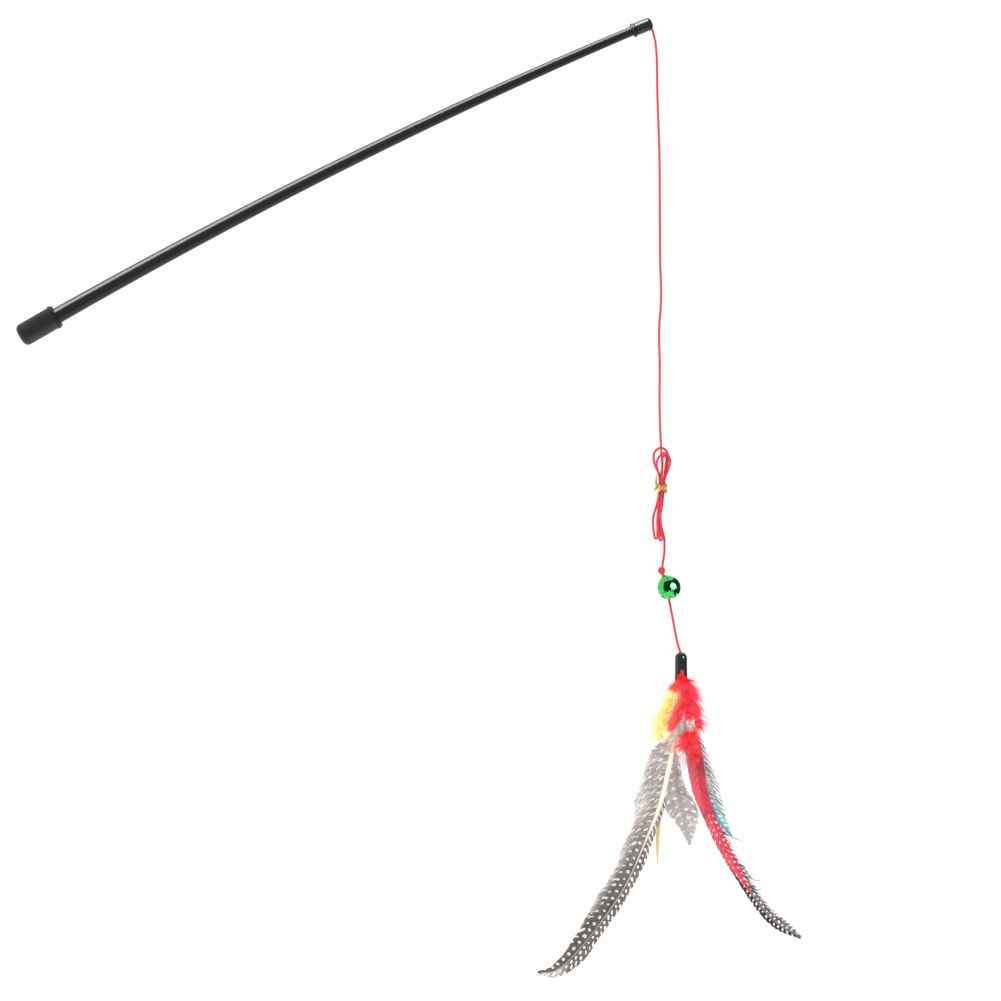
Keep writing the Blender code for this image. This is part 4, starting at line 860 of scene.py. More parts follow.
def quill_strand(shaft, widths, sides=10):
    """The shaft itself, round and as wide as the table says, mapped in a strip beside the barbs."""
    marks = np.linspace(0.0, shaft.length, 110)
    share = marks / shaft.length
    radii = np.interp(marks, *np.array(widths).T) / 2
    angles = np.linspace(0, math.tau, sides, endpoint=False)
    out = radii[:, None] * np.cos(angles)
    lift = radii[:, None] * np.sin(angles)
    places = shaft.place(np.repeat(marks[:, None], sides, axis=1), out, lift).reshape(-1, 3)
    quads = skin(len(marks) - 1, len(marks), sides)[2][:, [0, 3, 2, 1]]
    fan = np.arange(1, sides - 1)
    last = (len(marks) - 1) * sides
    caps = np.vstack([np.column_stack([fan * 0, fan, fan + 1]),
                      np.column_stack([fan * 0, fan + 1, fan]) + last])
    # The map's first value runs round the shaft from its left side to its right; quill_finish paints a shade on the
    # left side by it.
    maps = np.stack([np.broadcast_to(0.978 + 0.018 * np.cos(angles), (len(marks), sides)),
                     np.repeat(share[:, None], sides, axis=1)], axis=-1).reshape(-1, 2)
    return places, quads, caps, maps


def barbs(shaft, side, vane, seed, spacing=0.3, slant=42, curl=0.0, width=0.46, web=(3.5, 9.0), gap=0.45,
          ragged=0.05, ripple=0.2, first=None, opening=None):
    """The barbs of one side of a vane, locked in webs that part a little at the margin. The first
    ones may stand out more squarely, at the opening angle, and the rest settle to the slant."""
    dice = np.random.default_rng(seed)
    table = np.array(vane, float)
    marks, reach_there = table[:, 0], table[:, 1 if side < 0 else 2]
    cot = 1 / math.tan(math.radians(slant))
    start = first if first is not None else max(2.0, marks[1] - reach_there[1] * cot)
    end = shaft.length
    roots = np.arange(start, end - 0.3, spacing)
    roots = roots + dice.uniform(-0.35, 0.35, len(roots)) * spacing
    cot = np.interp(roots, (start, start + BARBS_SETTLE), (1 / math.tan(math.radians(opening or slant)), cot))
    smooth_marks = np.linspace(0, shaft.length + 20, 600)
    smooth_reach = np.interp(smooth_marks, marks, reach_there)
    smooth_reach = np.convolve(np.pad(smooth_reach, 12, mode="edge"), np.ones(25) / 25, mode="valid")
    reach = np.full(len(roots), reach_there.max())
    for _ in range(14):
        reach = np.interp(roots + reach * cot, smooth_marks, smooth_reach)
    edges = [start]
    while edges[-1] < end:
        edges.append(edges[-1] + dice.uniform(*web))
    web_index = np.clip(np.searchsorted(edges, roots) - 1, 0, len(edges) - 2)
    web_start = np.array(edges)[web_index]
    share = (roots - web_start) / (np.array(edges)[web_index + 1] - web_start)
    web_gap = dice.uniform(0.2, 1.0, len(edges))[web_index] * gap
    reach = reach * (1 - dice.uniform(0, ragged, len(roots)) - 0.05 * (2 * share - 1) ** 2)
    reach = np.maximum(reach, 0.35)
    q = np.linspace(0, 1, 9)
    out = side * reach[:, None] * q ** 0.95
    ahead = (reach * cot)[:, None] * (0.62 * q + 0.38 * q ** 2)
    ahead = ahead + ((1 - 2 * share) * web_gap)[:, None] * q ** 2 * np.minimum(reach, 4)[:, None] / 3
    ahead = ahead + dice.normal(0, 0.06, len(roots))[:, None] * q ** 2 * reach[:, None] / 3
    marks_at = roots[:, None] + ahead
    dish = curl * q ** 2 * np.minimum(reach / 8, 1)[:, None]
    wave = ripple * np.sin(roots / 3.1 + seed)[:, None] * q ** 2 + 0.35 * ripple * np.sin(roots * 1.7)[:, None] * q ** 3
    lines = shaft.place(marks_at, out, dish + wave)
    along = unit(np.gradient(lines, axis=1))
    face = shaft.read(shaft.face, marks_at)
    ways = unit(np.cross(face, along) + 0.22 * face)
    widths = width * (1 - 0.25 * q - 0.6 * q ** 6)
    flat = q[None, :] * 0
    places, quads, caps, _ = strands(lines, ways, widths[None, :], 0.05 * (1 - 0.5 * q)[None, :], flat, flat)
    u = MAP_MIDDLE + MAP_REACH * np.repeat((out / shaft.reach)[..., None], 3, axis=2)
    v = (roots[:, None, None] + np.array((-0.5, 0.5, 0.0)) * width * 0.8 + 0 * out[..., None]) / shaft.length
    maps = np.stack([u, v], axis=-1).reshape(-1, 2)
    return places, quads, caps, np.clip(maps, 0.001, 0.999)


def quill_finish(name, pale, deep, shaded_left_side, turns=(0.25, 1.0)):
    """Horny shaft: pale and smooth with fine lines along it, darker down its left side in a painted shade, and
    deeper in colour towards its tip, between two shares of its length."""
    finish = Finish(name, IOR=1.5, Coat_Weight=0.2, Coat_Roughness=0.2)
    across, share = finish.map("OFBake")
    stretched = finish.add("Mapping", {}, {"Vector": finish.place, "Scale": (1, 1, 0.12)})
    lines = finish.noise(4200, 3, stretched)
    # Painted shade: the shaft's left side takes the darker colour, as if the light came from the right.
    colour = finish.mix((across + lines * 0.006).blend(0.969, 0.984), shaded_left_side, pale)
    colour = finish.mix(share.blend(*turns), colour, deep)
    finish.link(Base_Color=finish.tint(colour, lines * 0.35 + 0.83), Roughness=lines * 0.3 + 0.28)
    finish.bump(lines, 0.00004, 0.5)
    return finish


def spotted_finish(name, shaft, top, low, narrow, spot, rows, columns, first, radius, dash_above=0.0,
                   dash_beyond=5.5, ring=0.45, show=(0.0, 1.0), pale_edge=0.45, edge=(0.55, 0.48, 0.46), seed=0.0,
                   contrast=1.0, right_edge=1.0, lock=0.7, turn=(0.3, 0.7), pale_end=0.0, oval=1.0):
    """Vane with rows of pale spots. Pairs of numbers are for its left and its right side; top, low and
    narrow are its colours above, below and at the right; spots far out or above turn to dashes."""
    finish = Finish(name, IOR=1.45, Sheen_Weight=0.1, Sheen_Roughness=0.5)
    u, v = finish.map("OFBake")
    length, reach = shaft.length, shaft.reach
    out = (u - MAP_MIDDLE) * (reach / MAP_REACH)
    along = v * length
    right = out.math("GREATER_THAN", 0.0)
    away = out.math("ABSOLUTE")
    moved = finish.add("Mapping", {}, {"Vector": finish.place, "Location": (seed, 0, 0)})
    wobble = finish.noise(260, 2, moved) - 0.5
    wobble_out = finish.noise(340, 2, moved, 0.6) - 0.5
    size_noise = finish.noise(420, 1, moved).blend(0.3, 0.7, 0.62, 1.3)

    def sided(pair):
        return right * (pair[1] - pair[0]) + pair[0]

    above = 1 - along.blend(dash_above - 9, dash_above + 9) if dash_above else 0.0
    dash = away.blend(dash_beyond - 1.2, dash_beyond + 1.0).math("MAXIMUM", above)
    row, column = sided(rows), sided(columns)
    column_at = (away + wobble_out * (dash * 1.5 + 1.0) - sided(first)) / column + 0.5
    row_at = (along + wobble * (dash * 3.0 + 1.6)) / row + column_at.math("FLOOR") * 0.42 + right * 0.5
    row_off = (row_at.math("FRACT") - 0.5) * row
    column_off = (column_at.math("FRACT") - 0.5) * column
    size = sided(radius) * size_noise
    leaned = row_off + column_off * (1 - dash) * 0.95 / oval
    tall, wide = size * (1 - dash * 0.36), size * (dash * 0.75 + 1.05) * oval
    far = ((leaned / tall) ** 2 + (column_off / wide) ** 2).math("SQRT")
    inside = away.blend(0.25, 0.5)
    spots = far.blend(0.78, 1.15, 1.0, 0.0) * along.blend(show[0], show[1]) * inside
    rings = far.blend(1.0, 2.0, 1.0, 0.0)
    barb_way = finish.add("CombineXYZ", {}, {0: away * 0.5, 1: along * 5.5, 2: right})
    streaks = finish.noise(1.0, 3, barb_way, 0.6)
    lock_way = finish.add("CombineXYZ", {}, {0: away * 0.22, 1: along * 1.25, 2: right * 3})
    locks = finish.noise(1.0, 2, lock_way, 0.6).blend(0.32, 0.68, -0.5, 0.5)
    patches = finish.noise(150, 2, moved)
    colour = finish.mix(along.blend(length * turn[0], length * turn[1]), top, low)
    colour = finish.mix(right * narrow[3], colour, narrow[:3])
    at_edge = (away + patches * 2 - 1).blend(reach * 0.34, reach * 0.84, 0.0, pale_edge)
    end_edge = right * along.blend(length * 0.88, length * 0.97, 0.0, pale_end)
    at_edge = (at_edge * (1 - right * right_edge)).math("MAXIMUM", end_edge)
    colour = finish.mix(at_edge, colour, edge)
    shade = (streaks * (1.1 * contrast) + (1 - 0.55 * contrast)) * (patches * (0.8 * contrast) + (1 - 0.4 * contrast))
    colour = finish.tint(colour, shade * (1 - rings * ring) * (locks * lock + 1))
    colour = finish.mix(spots * (streaks * 0.3 + 0.82).math("MINIMUM", 1.0), colour, spot)
    finish.link(Base_Color=colour, Roughness=streaks * 0.3 + 0.45)
    finish.bump(streaks, 0.00006, 0.4)
    return finish


def make_feather(name, node, slot, shaft, widths, finishes, vane=None, seed=0, sides=10, left=None, right=None, **both):
    """Joins the barbs of both sides and the shaft to one piece that stands for its solid."""
    parts = [(0, barbs(shaft, side, vane, seed + n, **both, **(own or {})))
             for n, side, own in ((1, -1, left), (2, 1, right)) if vane]
    piece = strand_mesh(name, [*parts, (len(finishes) - 1, quill_strand(shaft, widths, sides))])
    for finish in finishes[:-1]:
        piece.data.materials.append(finish.material)
    settle(piece, finishes[-1], "lure", slot, node)


cream_quill = quill_finish("quill_cream", (0.93, 0.87, 0.76), (0.5, 0.44, 0.38), (0.86, 0.7, 0.55), (0.36, 0.6))
left_shaft = Shaft(225, [
    (-1.5, -1.3, -8), (-1.4, -1.3, -17), (-4.4, -1.5, -32.3), (-8.6, -2.4, -50.5), (-14.2, -4.4, -64.6),
    (-24.7, -8, -86.8), (-40.3, -12.5, -107.9), (-52.3, -15, -119.4), (-60.8, -16, -121.3)], 11.5)
left_quill = [
    (3, 0.75), (14, 1.4), (22, 1.7), (30, 2.05), (40, 2.2), (52, 1.95), (62, 1.5), (72, 1), (84, 0.65), (96, 0.45),
    (145, 0.2)]
left_vane = [
    (26, 5, 0.6), (29, 7.6, 1.2), (34, 10.2, 2.1), (52, 11.2, 2.5), (60, 11.2, 2.3), (64, 7.6, 2.5), (70, 8, 2.9),
    (80, 8.6, 3.6), (88, 7.2, 3.1), (93, 8, 3.1), (102, 8.2, 3.4), (114, 6.6, 3.4), (128, 4.2, 4.8), (138, 2.8, 3.4),
    (145, 0.8, 0.8)]
left_spots = spotted_finish(
    "feather_brown_spotted", left_shaft, top=(0.55, 0.475, 0.43), low=(0.15, 0.115, 0.105),
    narrow=(0.17, 0.135, 0.125, 0.75), spot=(0.97, 0.96, 0.95), rows=(3.3, 2.7), columns=(2.6, 1.7), first=(2.0, 1.2),
    radius=(0.76, 0.62), dash_above=66, dash_beyond=4.8, ring=0.45, pale_edge=0.8, edge=(0.8, 0.76, 0.75),
    lock=0.75, pale_end=0.75)
make_feather(
    "feather_left_spotted", "guinea_feather_left", "guinea_grey", left_shaft, left_quill, [left_spots, cream_quill],
    left_vane, 10, 14, curl=1.2,
    left=dict(slant=40, web=(9, 17), gap=0.3, ragged=0.03, first=26.5, opening=74, spacing=0.2, width=0.62),
    right=dict(slant=34, web=(8, 14), gap=0.25, spacing=0.22, first=50))

# Short spotted feather behind it: light grey, nearly see-through barbs with large white spots, on
# a thin shaft that bends to the right.
short_shaft = Shaft(90, [
    (-0.4, 2, -8), (-1.2, 2.4, -20), (-2.1, 3, -32), (-1.9, 3.5, -44), (0.2, 4.2, -54), (2.4, 5.4, -63),
    (3.9, 6.4, -70)], 9.5)
short_vane = [
    (29, 0.5, 0.5), (34, 3.6, 1.7), (42, 6.6, 2.9), (49, 8.4, 4.4), (55, 7.6, 6.8), (61, 4, 7.2), (67, 1.8, 4.2),
    (72, 0.4, 0.5)]
short_spots = spotted_finish(
    "feather_pale_spotted", short_shaft, top=(0.64, 0.58, 0.575), low=(0.62, 0.565, 0.565),
    narrow=(0.63, 0.575, 0.57, 0.5), spot=(0.99, 0.98, 0.98), rows=(3.7, 3.7), columns=(3.0, 3.0), first=(1.7, 1.9),
    radius=(0.66, 0.7), dash_beyond=9.0, ring=0.12, seed=0.3, contrast=0.8, lock=0.5, oval=1.5)
make_feather(
    "feather_short_spotted", "guinea_feather_short", "pale_grey", short_shaft,
    [(3, 0.75), (10, 0.9), (40, 0.5), (70, 0.2)], [short_spots, cream_quill], short_vane, 20,
    left=dict(slant=46), right=dict(slant=44), curl=0.8, gap=0.4, spacing=0.24, width=0.52)

# Long spotted feather at the right: darker barbs with white spots, whose margin is split into
# saw-tooth webs. It shows on both sides of the red feather that lies on it.
right_shaft = Shaft(0, [
    (1.5, 1.2, -8), (3.2, 1.4, -16.2), (5.6, 1.7, -25), (7.4, 2, -37), (9.8, 2.2, -48.5), (17.4, 3, -67.7),
    (26.9, 4.6, -85.5), (38.9, 7.4, -101.7), (52, 10, -110.4)], 9)
right_vane = [
    (21, 0.6, 0.6), (25, 4.8, 3.4), (38, 4.7, 6), (50, 4.2, 8), (62, 3.5, 6.4), (72, 3.2, 3.8), (80, 2.7, 3.1),
    (89, 2.1, 4.3), (96, 2.2, 3.6), (102, 2.3, 3.2), (118, 2.4, 3.7), (124, 1.6, 2.4), (127, 0.6, 0.8)]
right_spots = spotted_finish(
    "feather_dark_spotted", right_shaft, top=(0.4, 0.35, 0.34), low=(0.03, 0.023, 0.022),
    narrow=(0.42, 0.38, 0.37, 0.4), spot=(0.97, 0.96, 0.96), rows=(2.3, 2.4), columns=(1.6, 1.8), first=(0.8, 0.9),
    radius=(0.5, 0.54), dash_above=70, dash_beyond=2.3, ring=0.5, seed=0.7, pale_edge=0.5, right_edge=0.2, lock=1.0)
make_feather(
    "feather_right_spotted", "guinea_feather_right", "guinea_grey", right_shaft,
    [(3, 0.75), (10, 1), (60, 0.6), (90, 0.25), (126, 0.15)], [right_spots, cream_quill], right_vane, 30,
    left=dict(gap=0.3, spacing=0.27), right=dict(gap=1.4, web=(1.7, 2.8), ragged=0.1, spacing=0.22, width=0.48),
    slant=36, curl=-0.8)

# Dyed feathers: a red one over the right one, rose-red with pink spots towards its tip, and a
# narrow teal one between them, whose barbs stand out to the right.
red_shaft = Shaft(-90, [
    (1, -1.8, -8), (3.1, -1.6, -16.2), (5.3, -1.4, -25), (7.1, -1.3, -37), (9.4, -1.3, -48.5), (17.2, -1.1, -67.7),
    (24, -0.6, -80.5), (30.2, 0.6, -90.4)], 6)
red_vane = [
    (21, 0.6, 0.6), (26, 4.2, 2.4), (36, 4.4, 3.2), (50, 3.9, 2.6), (62, 3.1, 1.8), (76, 2.4, 2.2), (88, 1.6, 2),
    (97, 0.3, 0.3)]
red_quill = quill_finish("quill_red", (0.6, 0.03, 0.05), (0.75, 0.08, 0.12), (0.35, 0.01, 0.02))
red_spots = spotted_finish(
    "feather_red_dyed", red_shaft, top=(0.84, 0.11, 0.15), low=(0.94, 0.07, 0.12),
    narrow=(0.78, 0.02, 0.05, 0.72), spot=(0.97, 0.8, 0.81), rows=(3.0, 2.7), columns=(1.7, 1.4), first=(1.0, 0.9),
    radius=(0.42, 0.48), dash_beyond=2.6, ring=0.15, show=(54, 64), pale_edge=0.55, edge=(0.68, 0.2, 0.25),
    seed=1.3, lock=0.5)
make_feather(
    "feather_red_long", "red_feather", "red_dye", red_shaft, [(3, 0.75), (10, 1.0), (60, 0.6), (97, 0.2)],
    [red_spots, red_quill], red_vane, 40, slant=30, curl=-0.3, gap=0.2, spacing=0.24, ripple=0.12)

teal_shaft = Shaft(-45, [
    (2.1, -0.3, -8), (3.6, 0, -16.2), (6.2, 0.2, -26), (8.2, 0.3, -37), (11, 0.3, -48), (15.6, 0.4, -58),
    (21.4, 0.8, -65.5)], 5)
teal_vane = [(30, 0.5, 0.5), (36, 1.6, 2), (46, 2, 3.4), (56, 2, 4), (64, 1.6, 3.2), (71, 0.4, 0.4)]
teal_quill = quill_finish("quill_teal", (0.3, 0.32, 0.32), (0.05, 0.22, 0.25), (0.2, 0.22, 0.22))
teal_spots = spotted_finish(
    "feather_teal_dyed", teal_shaft, top=(0.5, 0.47, 0.47), low=(0.26, 0.54, 0.58),
    narrow=(0.32, 0.6, 0.64, 0.12), spot=(0.96, 0.98, 0.98), rows=(2.4, 2.4), columns=(1.5, 1.5), first=(0.8, 1.0),
    radius=(0.5, 0.52), dash_beyond=1.6, ring=0.3, seed=2.1, lock=1.0, turn=(0.56, 0.76))
make_feather(
    "feather_teal_narrow", "teal_feather", "teal_dye", teal_shaft, [(3, 0.75), (71, 0.2)], [teal_spots, teal_quill],
    teal_vane, 50, left=dict(slant=32, gap=0.5, web=(2, 5)),
    right=dict(slant=30, gap=0.7, web=(2.0, 4.0), ragged=0.12, spacing=0.22, width=0.5), curl=0.2)

# Stray hairs: single fine hairs that have come loose. Three curl out of the margins of the feathers
# at the right, and a veil of pale pink ones hangs at the left of the red feather.
def loose_hairs(name, slot, lines, finish, width):
    """One piece of fine hairs, each a line of points measured from the lure cap's mouth."""
    lines = np.array(lines) + np.array(mouth)
    q = np.linspace(0, 1, lines.shape[1])
    ways = np.cross(unit(np.gradient(lines, axis=1)), (0.0, -1.0, 0.0))
    map_u = np.linspace(0.1, 0.9, len(lines))[:, None, None] + np.array((-0.01, 0.01, 0.0)) + 0 * q[None, :, None]
    map_v = q[None, :, None] * 0.98 + np.array((0.0, 0.0, 0.01)) + 0 * map_u
    widths = width * (1 - 0.75 * q)[None, :]
    settle(strand_mesh(name, [(0, strands(lines, ways, widths, widths * 0.8, map_u, map_v))]), finish, "lure", slot)


def curled(*knots):
    """Sixteen points along a smooth line."""
    route = smooth_route([Vector(k) for k in knots], 0.1)
    return route[np.linspace(0, len(route) - 1, 16).astype(int)]


hair_finish = grained(
    "hair_grey_brown", 900, 3, (0.2, 0.16, 0.15), (0.42, 0.37, 0.36), (0.3, 0.4), IOR=1.45, Sheen_Weight=0.1)
loose_hairs("hairs_dark_curled", "guinea_grey", [
    curled((20.0, 0.7, -63.9), (21.9, 0.2, -66.1), (24.3, -0.2, -67.0), (26.9, -0.4, -68.3)),
    curled((26.9, 4.2, -79.6), (29.1, 3.6, -82.7), (32.0, 3.0, -84.9), (35.0, 2.6, -84.4)),
    curled((29.6, 5.0, -86.6), (32.0, 4.4, -88.7), (33.6, 3.9, -88.9), (35.5, 3.5, -87.2))], hair_finish, 0.62)
veil_finish = grained(
    "hair_pale_pink", 900, 3, (0.93, 0.66, 0.72), (0.97, 0.84, 0.87), (0.3, 0.5), IOR=1.45, Sheen_Weight=0.1)
veil_dice = np.random.default_rng(81)
veil = []
for _ in range(36):
    drop = veil_dice.uniform(0, 1)
    foot = np.array((-1.3 + 4.0 * drop, -0.9, -30.6 - 2.0 * drop)) + veil_dice.normal(0, 0.25, 3)
    fall = veil_dice.uniform(5.0, 13.0) * (0.55 + 0.45 * drop)
    lean = veil_dice.uniform(-0.1, 0.16)
    veil.append(curled(foot, *(foot + np.array(way) * fall for way in (
        (lean - 0.08, 0.0, -0.36), (lean * 1.5, 0.01, -0.7), (lean * 1.7 + 0.06, 0.02, -1.0)))))
loose_hairs("hairs_pale_veil", "red_dye", veil, veil_finish, 0.13)

# Bare quill: an amber shaft with no vane, cut to a point. It hangs behind the left feather and its
# lower half shows.
bare_shaft = Shaft(180, [
    (-1.9, 0.5, -8), (-2.6, 1.1, -17), (-4.4, 1.3, -31), (-7.3, 1, -47), (-9.3, 0.7, -58), (-10, 0.4, -70),
    (-9.9, 0, -78.7)])
bare_quill = [(3, 0.75), (14, 1.6), (60, 1.8), (70, 1.5), (76, 0.8), (80, 0.2)]
amber_quill = quill_finish("quill_amber", (0.9, 0.72, 0.46), (0.84, 0.58, 0.26), (0.8, 0.42, 0.18))
make_feather("quill_bare_amber", "bare_quill", "amber_quill", bare_shaft, bare_quill, [amber_quill], sides=16)

# Marabou: soft plumes of long threads with fine fuzz, tied round the cap's mouth. Each plume is a
# set of tufts, and each tuft is a bunch of threads that spread from one root.
def fluff(name, node, slot, tufts, finish, seed, fuzz=26, fuzz_length=0.95, thread=0.11):
    """Threads with fuzz. A tuft is (root, way, length, spread, threads, hue, sag)."""
    dice = np.random.default_rng(seed)
    points = 7
    q = np.linspace(0, 1, points)
    lines, hues = [], []
    for root, way, length, spread, threads, hue, sag in tufts:
        way = np.array(Vector(way).normalized())
        common = dice.normal(0, 0.16, 3)
        for _ in range(threads):
            start = np.array(root) + dice.normal(0, 0.35, 3)
            heading = way + dice.normal(0, spread, 3)
            heading /= np.linalg.norm(heading)
            run = length * dice.uniform(0.62, 1.12)
            bend = common + dice.normal(0, 0.14, 3) + np.array((0, 0, -sag))
            lines.append(start + run * (q[:, None] * heading + q[:, None] ** 2 * bend * 0.5))
            hues.append(np.clip(hue + dice.normal(0, 0.06), 0.02, 0.98))
    lines, hues = np.array(lines) + np.array(mouth), np.array(hues)
    many = len(lines)
    along = unit(np.gradient(lines, axis=1))
    ways = unit(np.cross(along, dice.normal(0, 1, (many, 1, 3))))
    widths = thread * 2 * (1 - 0.8 * q)
    map_u = np.repeat(hues[:, None, None], points, axis=1).repeat(3, axis=2) + np.array((-0.004, 0.004, 0.0))
    map_v = np.broadcast_to(q[None, :, None] * 0.98 + 0.01, (many, points, 3)) + np.array((0.0, 0.0, 0.004))
    threads_part = strands(lines, ways, widths[None, :], thread * (1 - 0.7 * q)[None, :], map_u, map_v)
    share = np.tile(np.linspace(0.06, 0.97, fuzz), (many, 1)) + dice.uniform(-0.02, 0.02, (many, fuzz))
    index = np.clip(share * (points - 1), 0, points - 1.001)
    low = index.astype(int)
    part = (index - low)[..., None]
    rows = np.arange(many)[:, None]
    foot = lines[rows, low] * (1 - part) + lines[rows, low + 1] * part
    way = along[rows, low]
    side = ways[rows, low]
    third = np.cross(way, side)
    spin = dice.uniform(0, math.tau, (many, fuzz))[..., None]
    out = np.cos(spin) * side + np.sin(spin) * third
    fuzz_run = fuzz_length * (1.1 - 0.75 * share) * dice.uniform(0.6, 1.2, share.shape)
    tip = foot + (out * 0.8 + way * 0.75) * fuzz_run[..., None]
    edge = np.cross(out, way) * 0.055
    places = np.stack([foot - edge, foot + edge, foot + way * 0.05 * 1.6 + out * 0.03, tip], axis=2).reshape(-1, 3)
    base = np.arange(many * fuzz)[:, None] * 4
    sides_of = np.vstack([base + np.array(c) for c in ((0, 1, 3), (1, 2, 3), (2, 0, 3), (0, 2, 1))])
    fuzz_u = np.repeat(np.clip(hues[:, None] + dice.normal(0, 0.03, share.shape), 0.01, 0.99)[..., None], 4, axis=2)
    fuzz_v = np.clip(np.repeat(share[..., None], 4, axis=2) + np.array((0, 0.003, 0.006, 0.08)), 0.0, 0.999)
    fuzz_maps = np.stack([fuzz_u + np.array((-0.004, 0.004, 0.0, 0.002)), fuzz_v], axis=-1).reshape(-1, 2)
    fuzz_part = (places, np.zeros((0, 4), int), sides_of, fuzz_maps)
    piece = strand_mesh(name, [(0, threads_part), (0, fuzz_part)])
    settle(piece, finish, "lure", slot, *([node] if node else []))


def marabou_finish(name, hues, tip, tip_amount, painted_glow=0.3):
    """Dyed down: the hue goes across the plume, the tips of its threads are paler, and the threads
    shine a little with their own colour, painted light that stands in for light coming through them."""
    finish = Finish(name, Sheen_Weight=0.1, Sheen_Roughness=0.35, IOR=1.4, Emission_Strength=painted_glow)
    u, v = finish.map("OFBake")
    colour = finish.add("ValToRGB", {"stops": hues}, {0: u})
    clouds = finish.noise(320, 3)
    thread_way = finish.add("CombineXYZ", {}, {0: u * 70, 1: v * 1.6, 2: 0.0})
    each = finish.noise(1.0, 1, thread_way).blend(0.3, 0.7, 0.42, 1.3)
    colour = finish.mix(v.blend(0.35, 1.0, 0.0, tip_amount), colour, tip)
    colour = finish.tint(colour, (clouds * 0.8 + 0.6) * each)
    # Painted light: the colour is also given out as emission, so the threads stay bright where they are in shade.
    finish.link(Base_Color=colour, Emission_Color=colour, Roughness=clouds * 0.3 + 0.5)
    return finish


def plume_tufts(spine, sides, stations, seed):
    """Tufts along a plume's spine. A side is (way at the top, way at the end, lengths at the top,
    middle and end, threads, spread, hue)."""
    dice = np.random.default_rng(seed)
    route = smooth_route([Vector(p) for p in spine], 0.3)
    tufts = []
    for station in range(stations):
        share = (station + dice.uniform(0.2, 0.8)) / stations
        root = route[min(int(share * len(route)), len(route) - 1)]
        for first_way, last_way, lengths, threads, spread, hue in sides:
            way = np.array(first_way) * (1 - share) + np.array(last_way) * share + dice.normal(0, 0.12, 3)
            length = np.interp(share, (0, 0.5, 1), lengths) * dice.uniform(0.8, 1.2)
            root_here = tuple(root + dice.normal(0, 0.25, 3))
            tufts.append((root_here, way, length, spread, threads, hue + dice.normal(0, 0.04), 0.15))
    return tufts


red_marabou = marabou_finish("marabou_red", [
    (0, (0.97, 0.3, 0.14)), (0.28, (0.95, 0.03, 0.03)), (0.52, (0.82, 0.004, 0.014)), (0.75, (0.92, 0.012, 0.05)),
    (1, (0.92, 0.06, 0.19))], (0.98, 0.26, 0.32), 0.38, painted_glow=0.4)
# The left plume: a tuft that juts out at the cap's mouth, then a lobe that falls to the left.
left_tufts = plume_tufts(
    [(-0.4, -3, 1), (-1.4, -2.9, -0.4), (-2.1, -2.8, -1.4)],
    [((-0.7, -0.3, -0.8), (-1, -0.2, -0.45), (3, 4.4, 4.4), 15, 0.16, 0.2),
     ((-0.3, -0.5, -1), (-0.6, -0.4, -0.9), (3.5, 3.2, 3), 14, 0.14, 0.3)], 7, 61)
left_tufts += plume_tufts(
    [(1, -4.8, -6.4), (0.2, -5.4, -9.2), (-1.4, -5.6, -12), (-3, -5.4, -15), (-4, -5.2, -17.4)],
    [((-1, -0.1, -0.6), (-0.6, -0.1, -1), (4.8, 5.4, 4.2), 13, 0.17, 0.05),
     ((-0.95, -0.2, -0.7), (-0.5, -0.2, -1), (4.6, 5.2, 3.6), 14, 0.17, 0.2),
     ((-0.45, -0.4, -1), (-0.15, -0.3, -1), (4.4, 4.6, 3.4), 16, 0.16, 0.34),
     ((0, -0.4, -1), (0.2, -0.2, -1), (3.8, 3.8, 2.6), 14, 0.16, 0.46),
     ((0.35, -0.2, -1), (0.5, -0.1, -1), (3.4, 3, 1.8), 12, 0.18, 0.5)], 13, 62)
fluff("marabou_red_left", "red_marabou_left", "red_dye", left_tufts, red_marabou, 161)
# The front plume: a short fringe up over the cap, then tufts down the middle.
front_tufts = plume_tufts(
    [(-1.8, -3.1, 0.7), (0.2, -3.2, 2.2), (2.1, -3, 1.3)],
    [((0.2, -0.1, 1), (-0.1, -0.1, 1), (1.9, 2.6, 1.9), 7, 0.1, 0.5),
     ((0, -0.4, -1), (0.2, -0.4, -1), (5, 5.6, 5.2), 14, 0.14, 0.5)], 8, 63)
front_tufts += plume_tufts(
    [(0.5, -3.3, 1.2), (0.9, -4.4, -2.6), (1.7, -5.2, -7), (2.5, -5.7, -11), (3, -5.9, -13.6)],
    [((-0.25, -0.3, -1), (-0.5, -0.2, -1), (3.2, 3.4, 3.2), 15, 0.16, 0.42),
     ((0.1, -0.6, -1), (0, -0.4, -1), (4.2, 4.2, 3.4), 15, 0.16, 0.54),
     ((0.4, -0.3, -1), (0.4, -0.2, -1), (4.2, 4.6, 3.6), 15, 0.16, 0.62),
     ((0.7, -0.2, -0.8), (0.8, -0.1, -0.8), (4, 6, 5), 16, 0.17, 0.74)], 15, 64)
fluff("marabou_red_front", "red_marabou_front", "red_dye", front_tufts, red_marabou, 162)
# The right plume: a fan of long fine hairs that stand out to the right and end in a lobe.
right_tufts = plume_tufts(
    [(2.4, -1.4, 1), (3.6, -1.8, -3), (4.6, -2.2, -8), (5.4, -2.6, -13), (6.8, -2.8, -17.6)],
    [((1, -0.1, -0.5), (0.5, 0, -0.95), (5.4, 5.8, 4.2), 14, 0.15, 0.88),
     ((1, 0.2, -0.6), (0.8, 0.2, -0.8), (4.4, 7, 4.6), 9, 0.2, 0.94),
     ((0.3, -0.5, -1), (0.2, -0.3, -1), (4, 4.6, 4.4), 15, 0.16, 0.7),
     ((0.7, 0.8, -0.7), (0.5, 0.8, -0.9), (3.4, 4.6, 3.6), 10, 0.2, 0.8),
     ((1, 0, -0.6), (1, 0.1, -0.8), (4.6, 8.4, 7.4), 3, 0.22, 0.98)], 13, 65)
fluff("marabou_red_right", "red_marabou_right", "red_dye", right_tufts, red_marabou, 163, thread=0.09)

